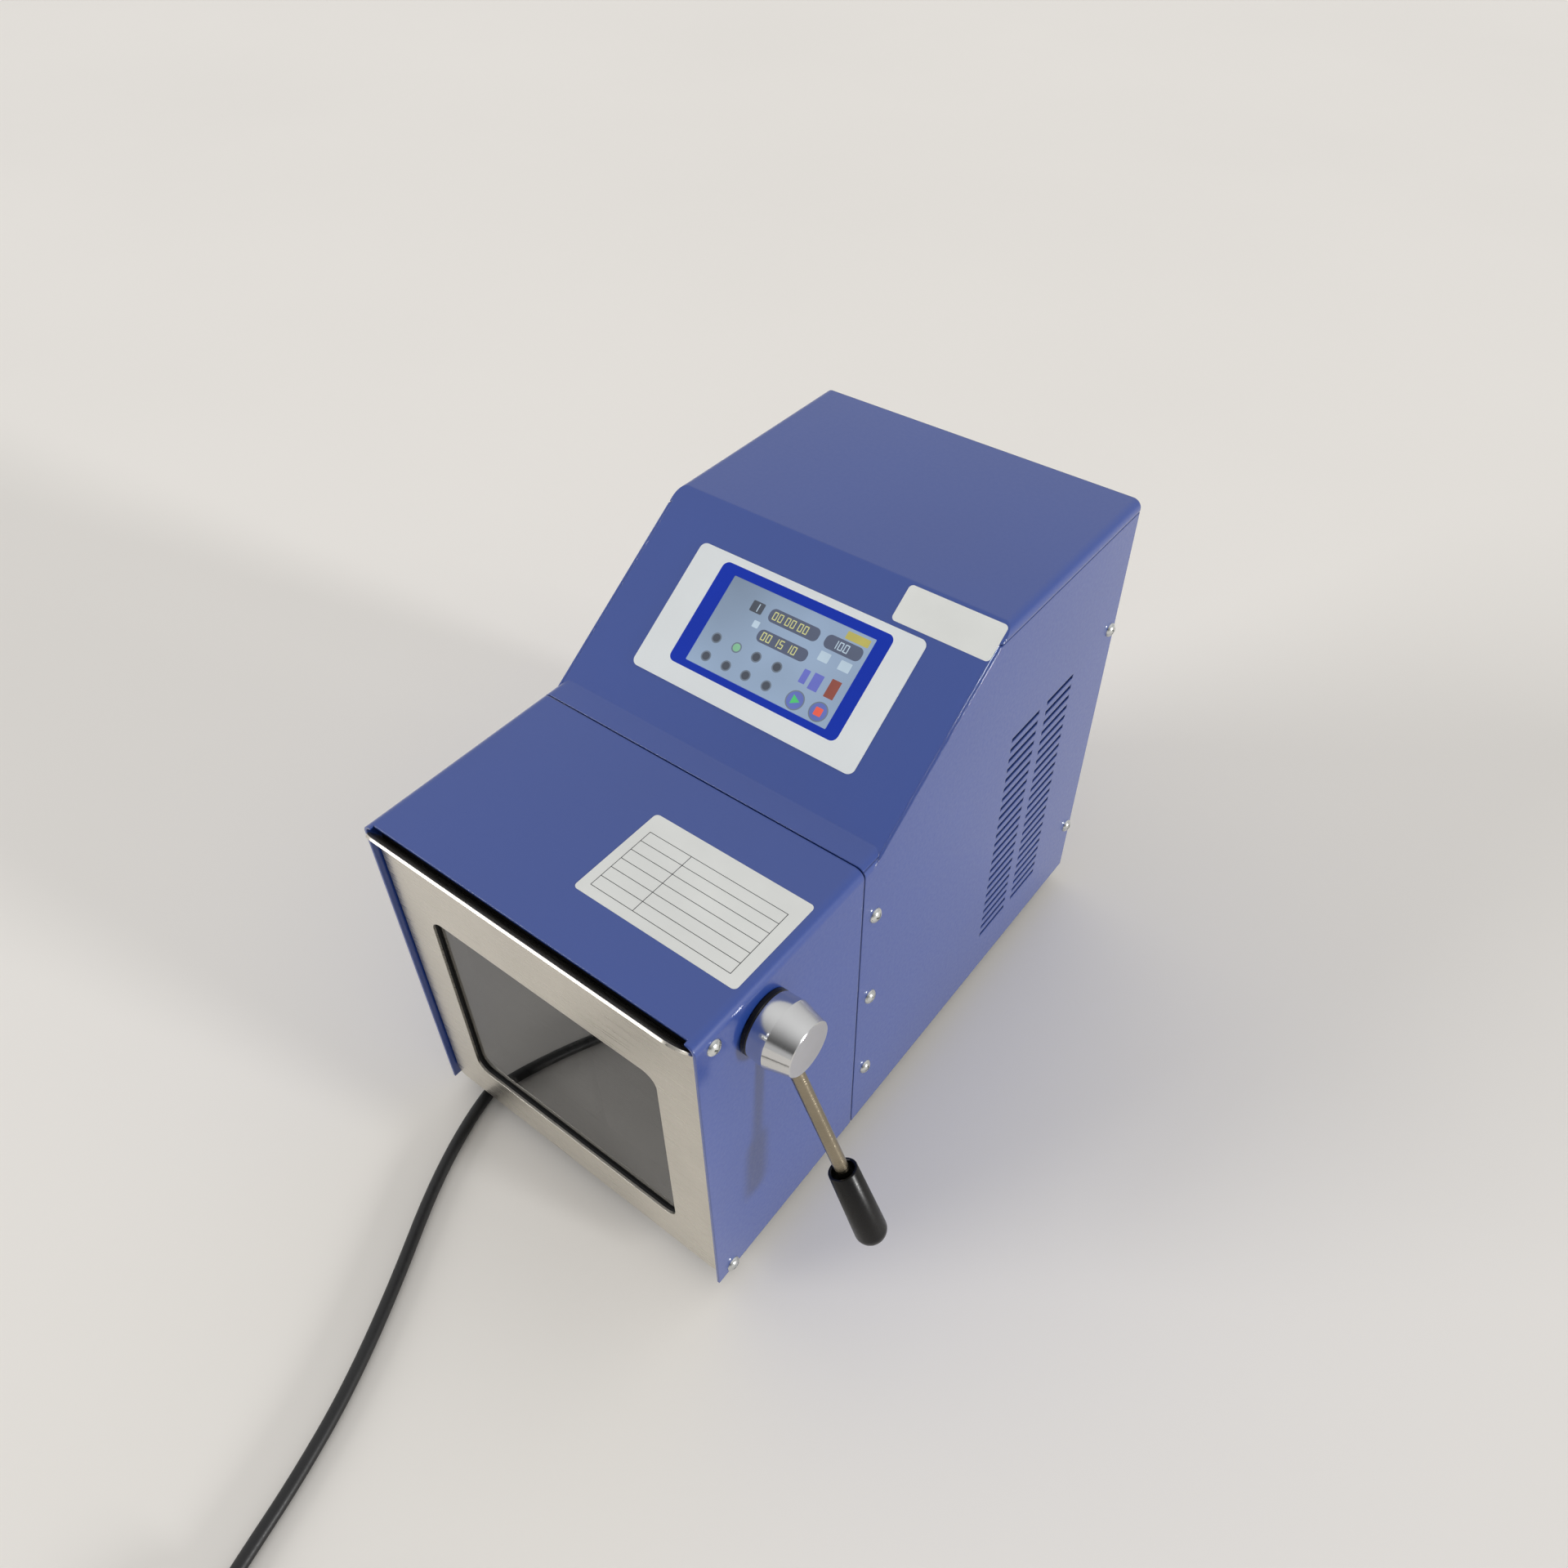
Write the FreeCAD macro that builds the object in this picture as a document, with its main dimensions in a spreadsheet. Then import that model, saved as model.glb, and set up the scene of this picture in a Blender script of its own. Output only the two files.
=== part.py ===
import FreeCAD, Part
import math
import operator
import os
from types import SimpleNamespace

import Sketcher
from FreeCAD import Placement, Rotation, Vector

# Paddle blender: a bench instrument that kneads a sample bag between a glazed front door
# and two paddles. Millimetres. +Z is up, +X is to the right seen from the front, the door
# faces -Y, and the origin lies on the table under the middle of the instrument.

# Driving dimensions: name, value, meaning
SIZES = [
    ("case_width", 220, "left casing face to right casing face"),
    ("case_depth", 390, "front edge of the chamber cover to the back"),
    ("case_height", 307, "bottom edge of the side panels to the top"),
    ("foot_height", 14.3, "table to the bottom edge of the side panels"),
    ("sheet", 1.5, "sheet metal thickness"),
    ("fit", 0.3, "gap between pieces that move past each other"),
    ("running", 0.05, "radial clearance of a shaft in its bush"),
    ("overshoot", 1, "what a cutting solid runs past a face"),
    ("chamber_height", 234.3, "height of the chamber cover"),
    ("chamber_depth", 123.5, "length of the chamber cover"),
    ("side_lead", 2.5, "side edges stand in front of the top edge"),
    ("cover_bend", 6, "outer bend radius of the chamber cover"),
    ("seam_gap", 1, "gap between chamber cover and housing"),
    ("lower_fold", 140.4, "front edge to the foot of the slope"),
    ("slope_angle", 33.8, "slope of the screen panel"),
    ("top_bend", 5.5, "outer bend radius of the top at the back"),
    ("top_seam", 300, "height of the seam under the top cover"),
    ("top_seam_gap", 0.7, "width of that seam"),
    ("vent_width", 31, "length of a vent slot"),
    ("vent_slot", 3.2, "height of a vent slot"),
    ("vent_pitch", 7.95, "vent slot to vent slot"),
    ("vent_rows", 23, "vent slots in a column"),
    ("vent_bottom", 38, "height of the lowest vent slot"),
    ("vent_front", 268.5, "front edge to the first vent column"),
    ("vent_columns_apart", 40, "vent column to vent column"),
    ("base_front", 20, "front edge to the base plate"),
    ("base_flange", 18, "height of the flanges of the base plate"),
    ("post_leg", 8, "leg of the corner posts"),
    ("post_front", 135.5, "front edge to the screws in the front posts"),
    ("post_back", 383.5, "front edge to the screws in the rear posts"),
    ("front_screw_low", 48, "height of the lowest screw in a front post"),
    ("front_screw_pitch", 71, "screw to screw in a front post"),
    ("back_screw_low", 46, "height of the lower screw in a rear post"),
    ("back_screw_high", 220, "height of the upper screw in a rear post"),
    ("cover_screw_y", 9, "front edge to the chamber cover's upper screw"),
    ("cover_screw_z", 223.5, "height of that screw"),
    ("rear_post_top", 295, "height of the rear posts"),
    ("rear_screw_low", 25, "height of the lowest screws of the rear panel"),
    ("rear_screw_pitch", 128, "screw to screw in the rear panel"),
    ("foot_radius", 11, "radius of a foot at the table"),
    ("foot_draft", 1.2, "a foot is this much narrower at its top"),
    ("foot_inset_x", 38, "side face to the middle of a foot"),
    ("foot_inset_y", 36, "front or back to the middle of a foot"),
    ("door_setback", 1, "front edge to the face of the door"),
    ("door_gap", 3, "side face to the edge of the door"),
    ("door_bottom", 3, "height of the lower edge of the door"),
    ("flare_start", 223, "height where the door's top bends forward"),
    ("flare_angle", 38, "angle of the lip away from the door"),
    ("flare_length", 14.6, "length of the lip"),
    ("lip_corner", 11, "corner radius of the lip"),
    ("door_corner", 6, "corner radius of the door's lower corners"),
    ("stud_radius", 1.5, "radius of a stud of the retaining frame"),
    ("nut_radius", 2.8, "radius of a nut of the retaining frame"),
    ("nut_height", 1.6, "height of those nuts"),
    ("window_left", 29, "left casing face to the window"),
    ("window_right", 188, "left casing face to the window's far side"),
    ("window_low", 32, "height of the window's lower edge"),
    ("window_high", 176, "height of the window's upper edge"),
    ("window_corner", 9, "corner radius of the window"),
    ("gasket_thick", 1.5, "thickness of the window gasket"),
    ("glass_thick", 4, "thickness of the window glass"),
    ("glass_lap", 7, "glass behind the edge of the window"),
    ("frame_lap", 8, "retaining frame outside the glass"),
    ("frame_lip", 2, "retaining frame behind the glass"),
    ("hinge_y", 9.5, "front edge to the door hinge"),
    ("hinge_z", 4.5, "height of the door hinge"),
    ("hinge_radius", 3, "radius of a hinge pin"),
    ("pin_head", 2.5, "thickness of a hinge pin's head"),
    ("pin_head_radius", 4.5, "radius of that head"),
    ("hinge_ear", 7, "radius of the door's hinge ears"),
    ("flange_depth", 13, "front edge to the back of the door's flanges"),
    ("catch_y", 22, "front edge to the catch pins"),
    ("catch_radius", 3, "radius of a catch pin"),
    ("catch_ear", 6.5, "radius of the door's catch ears"),
    ("lever_y", 43.5, "front edge to the lever shaft"),
    ("lever_z", 203.5, "height of the lever shaft"),
    ("shaft_radius", 6, "radius of the lever shaft"),
    ("hub_radius", 17.5, "radius of the lever hub"),
    ("hub_gap", 1, "panel to the lever hub"),
    ("hub_straight", 14, "panel to the start of the hub's cone"),
    ("hub_length", 26.5, "panel to the end of the hub"),
    ("hub_end_radius", 14.5, "radius of the hub's end face"),
    ("hub_neck_radius", 10, "radius of the hub's neck in the panel"),
    ("rod_out", 7.6, "panel to where the rod's axis meets the hub's"),
    ("rod_tilt", 25, "angle of the rod away from the panel"),
    ("rod_radius", 3.75, "radius of the lever rod"),
    ("grip_start", 95.5, "hub axis to the grip, along the rod"),
    ("grip_length", 52, "length of the grip"),
    ("grip_small", 7.8, "grip radius at its open end"),
    ("grip_large", 8.9, "grip radius at its round end"),
    ("grip_wall", 1.6, "wall of the grip round its recess"),
    ("grip_recess", 6, "depth of the grip's recess"),
    ("grip_round", 7.5, "rounding of the grip's end"),
    ("grip_bore", 40, "depth of the rod in the grip"),
    ("liner_side", 12, "casing face to the chamber liner"),
    ("liner_front", 11, "front edge to the chamber liner"),
    ("liner_back", 72, "front edge to the liner's rear wall"),
    ("liner_floor", 10, "height of the chamber floor"),
    ("hook_thick", 3, "thickness of a latch hook"),
    ("hook_reach", 26, "lever shaft to the nose of a hook"),
    ("hook_hub", 10, "radius of a hook round the shaft"),
    ("hook_lift", 0.8, "gap between a hook and its catch pin"),
    ("bush_wall", 2, "wall of the lever shaft's bushes"),
    ("flange_top", 214, "height of the top of the door's flanges"),
    ("clamp_low", 216, "height of the bag clamp and of the liner's top"),
    ("clamp_high", 229, "height of the bag clamp's upper edge"),
    ("clamp_deep", 8, "depth of the clamp bar"),
    ("strip_side", 6, "side face to the end of the rubber strip"),
    ("strip_thick", 3, "thickness of the clamp's rubber strip"),
    ("strip_gap", 0.3, "door sheet to the rubber strip"),
    ("paddle_width", 90, "width of a paddle"),
    ("paddle_gap", 6, "gap between the paddles"),
    ("paddle_low", 24, "height of the paddles' lower edge"),
    ("paddle_high", 184, "height of the paddles' upper edge"),
    ("paddle_front", 24, "front edge to the paddles' faces at mid stroke"),
    ("paddle_thick", 12, "thickness of a paddle"),
    ("paddle_corner", 8, "corner radius of a paddle"),
    ("paddle_round", 4, "rounding of a paddle's face edges"),
    ("boss_radius", 12, "radius of the boss behind a paddle"),
    ("boss_length", 8, "length of that boss"),
    ("drive_z", 105, "height of the push rods and the crankshaft"),
    ("push_radius", 6, "radius of a push rod"),
    ("push_bush_radius", 9, "outer radius of the push rod bushes"),
    ("push_bush_length", 12, "length of a push rod bush"),
    ("bush_flange", 2, "flange of a push rod bush"),
    ("seal_radius", 13, "outer radius of a rod seal"),
    ("seal_length", 6, "length of a rod seal"),
    ("guide_length", 36, "length of the guide block"),
    ("guide_height", 44, "height of the guide block"),
    ("guide_margin", 18, "guide block beside the push rods"),
    ("throw", 12, "throw of the crank"),
    ("yoke_front", 130, "front edge to the yokes at mid stroke"),
    ("yoke_thick", 12, "thickness of a yoke"),
    ("yoke_wall", 7, "wall of a yoke round its slot"),
    ("yoke_play", 0.8, "gap between roller and slot, each side"),
    ("crank_pin_radius", 6, "radius of a crank pin"),
    ("roller_radius", 8, "outer radius of a crank roller"),
    ("journal_radius", 7.5, "radius of the crank's journals"),
    ("web_radius", 21, "radius of a crank web"),
    ("web_thick", 8, "thickness of a crank web"),
    ("web_gap", 2, "gap between a web and its yoke"),
    ("bearing_radius", 17.5, "outer radius of a crank bearing"),
    ("bearing_width", 11, "width of a crank bearing"),
    ("block_wall", 7, "wall of a bearing block round its bearing"),
    ("end_bearing", 36, "casing face to the middle of an end bearing"),
    ("pulley_side", 12, "casing face to the belt pulleys"),
    ("pulley_width", 16, "width of the belt pulleys"),
    ("pulley_radius", 45, "radius of the driven pulley"),
    ("pulley_flange", 2, "thickness of the pulleys' flanges"),
    ("pulley_flange_rise", 2.5, "rise of the flanges over the pulley"),
    ("pulley_web", 6, "thickness of the driven pulley's web"),
    ("pulley_hub", 14.5, "radius of the driven pulley's hub"),
    ("motor_pulley_radius", 15, "radius of the motor pulley"),
    ("belt_thick", 2, "thickness of the belt"),
    ("motor_y", 262, "front edge to the motor shaft"),
    ("motor_z", 52, "height of the motor shaft"),
    ("motor_radius", 38, "radius of the motor"),
    ("motor_waist", 36, "radius of the motor between its end caps"),
    ("motor_length", 110, "length of the motor"),
    ("motor_shaft_radius", 5, "radius of the motor shaft"),
    ("motor_cap", 14, "length of a motor end cap"),
    ("motor_chamfer", 7, "chamfer of the motor's far end"),
    ("bracket_gap", 16, "belt pulleys to the motor bracket"),
    ("bracket_margin", 5, "motor bracket round the motor"),
    ("bracket_thick", 4, "thickness of the motor bracket"),
    ("bracket_foot", 30, "length of the bracket's foot"),
    ("board_length", 96, "length of the power board"),
    ("board_width", 70, "width of the power board"),
    ("board_thick", 1.6, "thickness of a circuit board"),
    ("board_side", 18, "left casing face to the power board"),
    ("board_front", 308, "front edge to the power board"),
    ("standoff_height", 10, "height of the board's standoffs"),
    ("transformer", 28, "length of the transformer on the power board"),
    ("transformer_height", 22.4, "height of the transformer"),
    ("transformer_left", 12, "board's left edge to the transformer"),
    ("transformer_front", 14, "board's front edge to the transformer"),
    ("can_radius", 6, "radius of a capacitor on the power board"),
    ("can_height", 25, "height of a capacitor"),
    ("can_right", 18, "board's right edge to the first capacitor"),
    ("can_pitch", 18, "capacitor to capacitor"),
    ("standoff_radius", 3, "radius of a standoff"),
    ("overlay_left", 34.8, "left casing face to the screen overlay"),
    ("overlay_right", 184.6, "left casing face to its far edge"),
    ("overlay_low", 25, "slope's foot to the overlay, up the slope"),
    ("overlay_high", 104.4, "slope's foot to the overlay's upper edge"),
    ("overlay_thick", 0.5, "thickness of the overlay"),
    ("bezel_left", 54.1, "left casing face to the screen's frame"),
    ("bezel_right", 167.4, "left casing face to its far edge"),
    ("bezel_low", 36.3, "slope's foot to the frame, up the slope"),
    ("bezel_high", 99.8, "slope's foot to the frame's upper edge"),
    ("screen_left", 64.2, "left casing face to the screen"),
    ("screen_right", 158.9, "left casing face to the screen's far edge"),
    ("screen_low", 40.5, "slope's foot to the screen, up the slope"),
    ("screen_high", 94.2, "slope's foot to the screen's upper edge"),
    ("screen_recess", 0.25, "screen glass below the frame's face"),
    ("display_margin", 5, "display module beyond the frame"),
    ("display_thick", 8, "thickness of the display module"),
    ("fan_x", 110, "left casing face to the fan's axis"),
    ("fan_z", 210, "height of the fan's axis"),
    ("fan_size", 80, "width of the fan"),
    ("fan_thick", 25, "thickness of the fan"),
    ("fan_bore", 38, "radius of the fan's bore"),
    ("fan_hub", 18, "radius of the fan's hub"),
    ("fan_blades", 7, "number of fan blades"),
    ("blade_gap", 1, "gap round the blades"),
    ("blade_thick", 1.5, "thickness of a blade"),
    ("fan_back", 2, "thickness of the fan's struts and motor plate"),
    ("fan_strut", 5, "width of a strut"),
    ("fan_pin", 2, "radius of the fan's shaft"),
    ("rotor_gap", 1, "gap in front of and behind the rotor"),
    ("blade_twist", 35, "twist of a blade"),
    ("guard_bar", 2, "width of the fan guard's rings and bars"),
    ("guard_thick", 2, "thickness of the fan guard"),
    ("guard_rings", 4, "number of rings in the guard"),
    ("switch_x", 48, "left casing face to the power switch"),
    ("switch_z", 72, "height of the power switch and the fuse"),
    ("switch_width", 13, "width of the switch's cut-out"),
    ("switch_height", 19.5, "height of the switch's cut-out"),
    ("switch_rim", 1.8, "rim of the switch round its cut-out"),
    ("switch_rim_thick", 1.5, "thickness of that rim"),
    ("switch_body", 16, "depth of the switch behind the panel"),
    ("rocker_rock", 9, "angle of the rocker either side of level"),
    ("rocker_half", 7, "half the length of the rocker"),
    ("rocker_inner", 6.3, "half the length of the rocker's inner side"),
    ("rocker_deep", 4.5, "depth of the rocker behind its pivot"),
    ("rocker_rise", 2.7, "rise of the rocker's ends over its pivot"),
    ("fuse_x", 78, "left casing face to the fuse holder"),
    ("fuse_radius", 6, "radius of the fuse holder's body"),
    ("fuse_cap_radius", 7.5, "radius of the fuse holder's cap"),
    ("fuse_cap_length", 9, "length of that cap"),
    ("fuse_chamfer", 1.5, "chamfer of that cap"),
    ("fuse_body_length", 26, "fuse holder behind the panel"),
    ("gland_x", 112, "left casing face to the cord's strain relief"),
    ("gland_z", 76, "height of the strain relief"),
    ("gland_radius", 8, "radius of the strain relief in the panel"),
    ("gland_collar", 11, "radius of its collar"),
    ("gland_collar_thick", 3, "thickness of its collar"),
    ("gland_length", 26, "length of its taper"),
    ("gland_tip", 5.2, "radius at the end of its taper"),
    ("cord_radius", 3.8, "radius of the mains cord"),
    ("plug_tail", 24, "length of the plug's cord sleeve"),
    ("plug_length", 34, "length of the plug's body"),
    ("plug_taper", 20.4, "length of the body's taper"),
    ("plug_width", 36, "width of the plug's body"),
    ("plug_thick", 22.8, "thickness of the plug's body"),
    ("blade_apart", 16, "blade to blade"),
    ("blade_drop", 3.2, "line and neutral blades below the middle"),
    ("blade_rise", 6.4, "earth blade above the middle"),
    ("blade_half", 0.8, "half the thickness of a blade"),
    ("blade_width", 6.3, "width of a blade"),
    ("blade_length", 18, "length of a blade"),
    ("screw_head_radius", 4.5, "radius of a screw head"),
    ("screw_head_height", 3, "height of a screw head"),
    ("screw_radius", 2, "radius of a screw"),
    ("screw_length", 6, "length of a screw below its head"),
]


class Size:
    """A length or an angle, with its value and its formula on the sheet of sizes."""

    def __init__(self, value, text):
        self.value = value
        self.text = text

    def __float__(self):
        return float(self.value)

    def __add__(self, other):
        return joined(self, "+", other)

    def __radd__(self, other):
        return joined(other, "+", self)

    def __sub__(self, other):
        return joined(self, "-", other)

    def __rsub__(self, other):
        return joined(other, "-", self)

    def __mul__(self, other):
        return joined(self, "*", other)

    def __rmul__(self, other):
        return joined(other, "*", self)

    def __truediv__(self, other):
        return joined(self, "/", other)

    def __neg__(self):
        return joined(0, "-", self)


OPERATIONS = {"+": operator.add, "-": operator.sub, "*": operator.mul, "/": operator.truediv}


def as_size(number):
    if isinstance(number, Size):
        return number
    return Size(float(number), f"({float(number)})")


def joined(first, sign, second):
    first = as_size(first)
    second = as_size(second)
    value = OPERATIONS[sign](first.value, second.value)
    return Size(value, f"({first.text} {sign} {second.text})")


def sine(angle):
    return Size(math.sin(math.radians(angle.value)), f"sin({angle.text} * 1 deg)")


def cosine(angle):
    return Size(math.cos(math.radians(angle.value)), f"cos({angle.text} * 1 deg)")


def tangent(angle):
    return sine(angle) / cosine(angle)


doc = FreeCAD.newDocument("PaddleBlender")
sheet = doc.addObject("Spreadsheet::Sheet", "Sizes")
for row, (alias, value, meaning) in enumerate(SIZES, start=1):
    sheet.set(f"A{row}", meaning)
    sheet.set(f"B{row}", str(value))
    sheet.setAlias(f"B{row}", alias)
doc.recompute()
s = SimpleNamespace(**{alias: Size(float(value), f"Sizes.{alias}") for alias, value, meaning in SIZES})

# Places in the part's own frame. The lever stands out on the right and the lip in front, so
# the casing is set to the left of and behind the origin.
lever_reach = s.rod_out + sine(s.rod_tilt) * (s.grip_start + s.grip_length - s.grip_large) + s.grip_large
middle = (s.screw_head_height - lever_reach) / 2
lip_reach = s.flare_length * sine(s.flare_angle) - s.door_setback
depth_centre = (s.case_depth + s.fuse_cap_length - lip_reach) / 2
half_width = s.case_width / 2


def across(distance, side=-1):
    """A place so far inside the left casing face, or inside the right one with side=1."""
    return middle + side * (half_width - distance)


def deep(distance):
    """A place so far behind the front edge of the chamber cover."""
    return distance - depth_centre


def up(distance):
    """A place so far above the bottom edge of the side panels."""
    return s.foot_height + distance


# Tools for pieces whose sizes stay bound to the sheet
AXES = {"x": Rotation(Vector(0, 1, 0), 90), "y": Rotation(Vector(1, 0, 0), -90), "z": Rotation()}
NODES = {}


def node(label, thing):
    """Give a sub-part its name."""
    thing.Label = label
    NODES[label] = thing
    return thing


def bind(thing, **sizes):
    for name, size in sizes.items():
        thing.setExpression(name, as_size(size).text)


def set_base(thing, base, rotation=Rotation()):
    thing.Placement = Placement(Vector(*[float(value) for value in base]), rotation)
    for letter, value in zip("xyz", base):
        thing.setExpression(f"Placement.Base.{letter}", as_size(value).text)


def box(low, high):
    """A box from one corner to the other."""
    thing = doc.addObject("Part::Box", "Box")
    pairs = [sorted(pair, key=float) for pair in zip(low, high)]
    length, width, height = [pair[1] - pair[0] for pair in pairs]
    bind(thing, Length=length, Width=width, Height=height)
    set_base(thing, [pair[0] for pair in pairs])
    return thing


def cylinder(axis, centre, start, stop, radius):
    """A cylinder along an axis, its centre given in the two other directions."""
    thing = doc.addObject("Part::Cylinder", "Cylinder")
    start, stop = sorted((start, stop), key=float)
    bind(thing, Radius=radius, Height=stop - start)
    base = list(centre)
    base.insert("xyz".index(axis), start)
    set_base(thing, base, AXES[axis])
    return thing


def cut(base, *tools):
    for tool in tools:
        thing = doc.addObject("Part::Cut", "Cut")
        thing.Base = base
        thing.Tool = tool
        base = thing
    return base


def common(first, second):
    thing = doc.addObject("Part::Common", "Common")
    thing.Base = first
    thing.Tool = second
    return thing


def fuse(*things):
    thing = doc.addObject("Part::MultiFuse", "Fuse")
    thing.Shapes = list(things)
    return thing


def group(*things):
    """Separate solids of one kind in one sub-part."""
    thing = doc.addObject("Part::Compound", "Group")
    thing.Links = list(things)
    return thing


def ring(axis, centre, start, stop, outer, inner):
    return cut(cylinder(axis, centre, start, stop, outer), cylinder(axis, centre, start, stop, inner))


def body():
    return doc.addObject("PartDesign::Body", "Body")


def sketch_on(owner, plane, offset):
    """A sketch on one of the body's own planes, moved along the plane's normal."""
    sketch = owner.newObject("Sketcher::SketchObject", "Sketch")
    support = [feature for feature in owner.Origin.OriginFeatures if feature.Role == f"{plane}_Plane"]
    sketch.AttachmentSupport = [(support[0], "")]
    sketch.MapMode = "FlatFace"
    if plane == "XZ":
        offset = -offset
    sketch.setExpression("AttachmentOffset.Base.z", as_size(offset).text)
    return sketch


def pin_point(sketch, geometry, point, place):
    """Fix a point of the sketch at its place on the sheet of sizes."""
    for kind, size in zip(("DistanceX", "DistanceY"), place):
        index = sketch.addConstraint(Sketcher.Constraint(kind, -1, 1, geometry, point, float(size)))
        sketch.setExpression(f"Constraints[{index}]", as_size(size).text)


def outline(sketch, points):
    """A closed outline of straight lines through the points."""
    first = sketch.GeometryCount
    count = len(points)
    flat = [Vector(float(a), float(b), 0) for a, b in points]
    for index in range(count):
        sketch.addGeometry(Part.LineSegment(flat[index], flat[(index + 1) % count]), False)
    for index in range(count):
        following = first + (index + 1) % count
        sketch.addConstraint(Sketcher.Constraint("Coincident", first + index, 2, following, 1))
    for index, place in enumerate(points):
        pin_point(sketch, first + index, 1, place)


def rectangle(sketch, low, high):
    outline(sketch, [low, (high[0], low[1]), high, (low[0], high[1])])


def circle(sketch, centre, radius):
    place = Vector(float(centre[0]), float(centre[1]), 0)
    index = sketch.addGeometry(Part.Circle(place, Vector(0, 0, 1), float(radius)), False)
    pin_point(sketch, index, 3, centre)
    constraint = sketch.addConstraint(Sketcher.Constraint("Radius", index, float(radius)))
    sketch.setExpression(f"Constraints[{constraint}]", as_size(radius).text)


def pad(owner, sketch, length, back=False):
    feature = owner.newObject("PartDesign::Pad", "Pad")
    feature.Profile = sketch
    bind(feature, Length=length)
    feature.Reversed = back
    doc.recompute()
    return feature


def pocket(owner, sketch):
    """Cut the sketch through the whole body, both ways."""
    before = owner.Tip.Shape.Volume
    feature = owner.newObject("PartDesign::Pocket", "Pocket")
    feature.Profile = sketch
    feature.Midplane = True
    feature.Type = "ThroughAll"
    doc.recompute()
    if feature.Shape.Volume >= before:
        raise ValueError("a pocket cut nothing")
    return feature


def edge_middle(edge):
    return edge.valueAt((edge.FirstParameter + edge.LastParameter) / 2)


def runs_along(edge, letter):
    if edge.Curve.TypeId != "Part::GeomLine":
        return False
    return abs(getattr(edge.tangentAt(edge.FirstParameter), letter)) > 0.999


def round_edges(owner, radius, choose):
    """Round the body's edges that the test chooses."""
    base = owner.Tip
    names = [f"Edge{number}" for number, edge in enumerate(base.Shape.Edges, start=1) if choose(edge)]
    feature = owner.newObject("PartDesign::Fillet", "Fillet")
    feature.Base = (base, names)
    bind(feature, Radius=radius)
    doc.recompute()
    if not names or feature.Shape.isNull():
        raise ValueError(f"no rounding of {float(radius)} mm on {len(names)} edges")
    return feature


def turned(axis_base, profile, turn_axis):
    """A solid of revolution about a line parallel to an axis: pairs of place and radius."""
    owner = body()
    plane = {"x": "XZ", "y": "YZ", "z": "YZ"}[turn_axis]
    sketch = sketch_on(owner, plane, axis_base[0])
    if turn_axis == "z":
        points = [(axis_base[1] + radius, place) for place, radius in profile]
        sides = ("V_Axis", axis_base[1])
    else:
        points = [(place, axis_base[1] + radius) for place, radius in profile]
        sides = ("H_Axis", axis_base[1])
    outline(sketch, points)
    first, last = profile[0][0], profile[-1][0]
    line = sketch.addGeometry(Part.LineSegment(Vector(0, 0, 0), Vector(1, 1, 0)), True)
    if turn_axis == "z":
        ends = ((sides[1], first), (sides[1], last))
    else:
        ends = ((first, sides[1]), (last, sides[1]))
    pin_point(sketch, line, 1, ends[0])
    pin_point(sketch, line, 2, ends[1])
    feature = owner.newObject("PartDesign::Revolution", "Revolution")
    feature.Profile = sketch
    feature.ReferenceAxis = (sketch, ["Axis0"])
    feature.Angle = 360
    doc.recompute()
    return owner

# Places that several pieces share
inner = s.sheet + s.fit
door_face = s.door_setback
door_back = door_face + s.sheet
glass_front = door_back + s.gasket_thick
glass_back = glass_front + s.glass_thick
panel_out = s.case_depth
panel_in = s.case_depth - s.sheet
housing_front = s.chamber_depth + s.seam_gap
rise = s.case_height - s.chamber_height
upper_fold = s.lower_fold + rise / tangent(s.slope_angle)
lever_axis = (deep(s.lever_y), up(s.lever_z))
hinge_axis = (deep(s.hinge_y), up(s.hinge_z))
catch_axis = (deep(s.catch_y), up(s.lever_z))
rod_side = s.case_width / 2 - s.paddle_gap / 2 - s.paddle_width / 2
liner_wall_in = s.liner_side + s.sheet
liner_wall_back = s.liner_back + s.sheet
hook_in = s.liner_side - s.bush_flange - s.fit
hook_out = hook_in - s.hook_thick
strip_front = door_back + s.strip_gap
clamp_front = strip_front + s.strip_thick
slot_half = s.roller_radius + s.yoke_play
crank_y = s.yoke_front + s.yoke_wall + slot_half
crank_axis = (deep(crank_y), up(s.drive_z))
motor_axis = (deep(s.motor_y), up(s.motor_z))
bracket_out = s.pulley_side + s.pulley_width + s.bracket_gap
bracket_in = bracket_out + s.bracket_thick
fan_front = panel_in - s.fan_thick
over = s.overshoot

SIDES = {"left": -1, "right": 1}
side_screws = [
    (s.hinge_y, s.hinge_z),
    (s.cover_screw_y, s.cover_screw_z),
    (s.post_front, s.front_screw_low),
    (s.post_front, s.front_screw_low + s.front_screw_pitch),
    (s.post_front, s.front_screw_low + s.front_screw_pitch * 2),
    (s.post_back, s.back_screw_low),
    (s.post_back, s.back_screw_high),
]


def side_holes(side, places):
    """The screws' holes in one side of the casing."""
    return [
        cylinder("x", (deep(y), up(z)), across(-over, side), across(s.screw_length, side), s.screw_radius)
        for y, z in places
    ]


def screw(axis, centre, face, out):
    """A pan head screw whose head rests on a face; out is +1 or -1 along the axis."""
    rim = s.screw_head_height / 2
    shank = cylinder(axis, centre, face, face - out * s.screw_length, s.screw_radius)
    head = cylinder(axis, centre, face, face + out * rim, s.screw_head_radius)
    dome = doc.addObject("Part::Cone", "Dome")
    bind(dome, Radius1=s.screw_head_radius, Radius2=s.screw_head_radius / 2, Height=rim)
    base = list(centre)
    base.insert("xyz".index(axis), face + out * rim)
    turn = AXES[axis] if out > 0 else AXES[axis] * Rotation(Vector(1, 0, 0), 180)
    set_base(dome, base, turn)
    return fuse(shank, head, dome)


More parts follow.
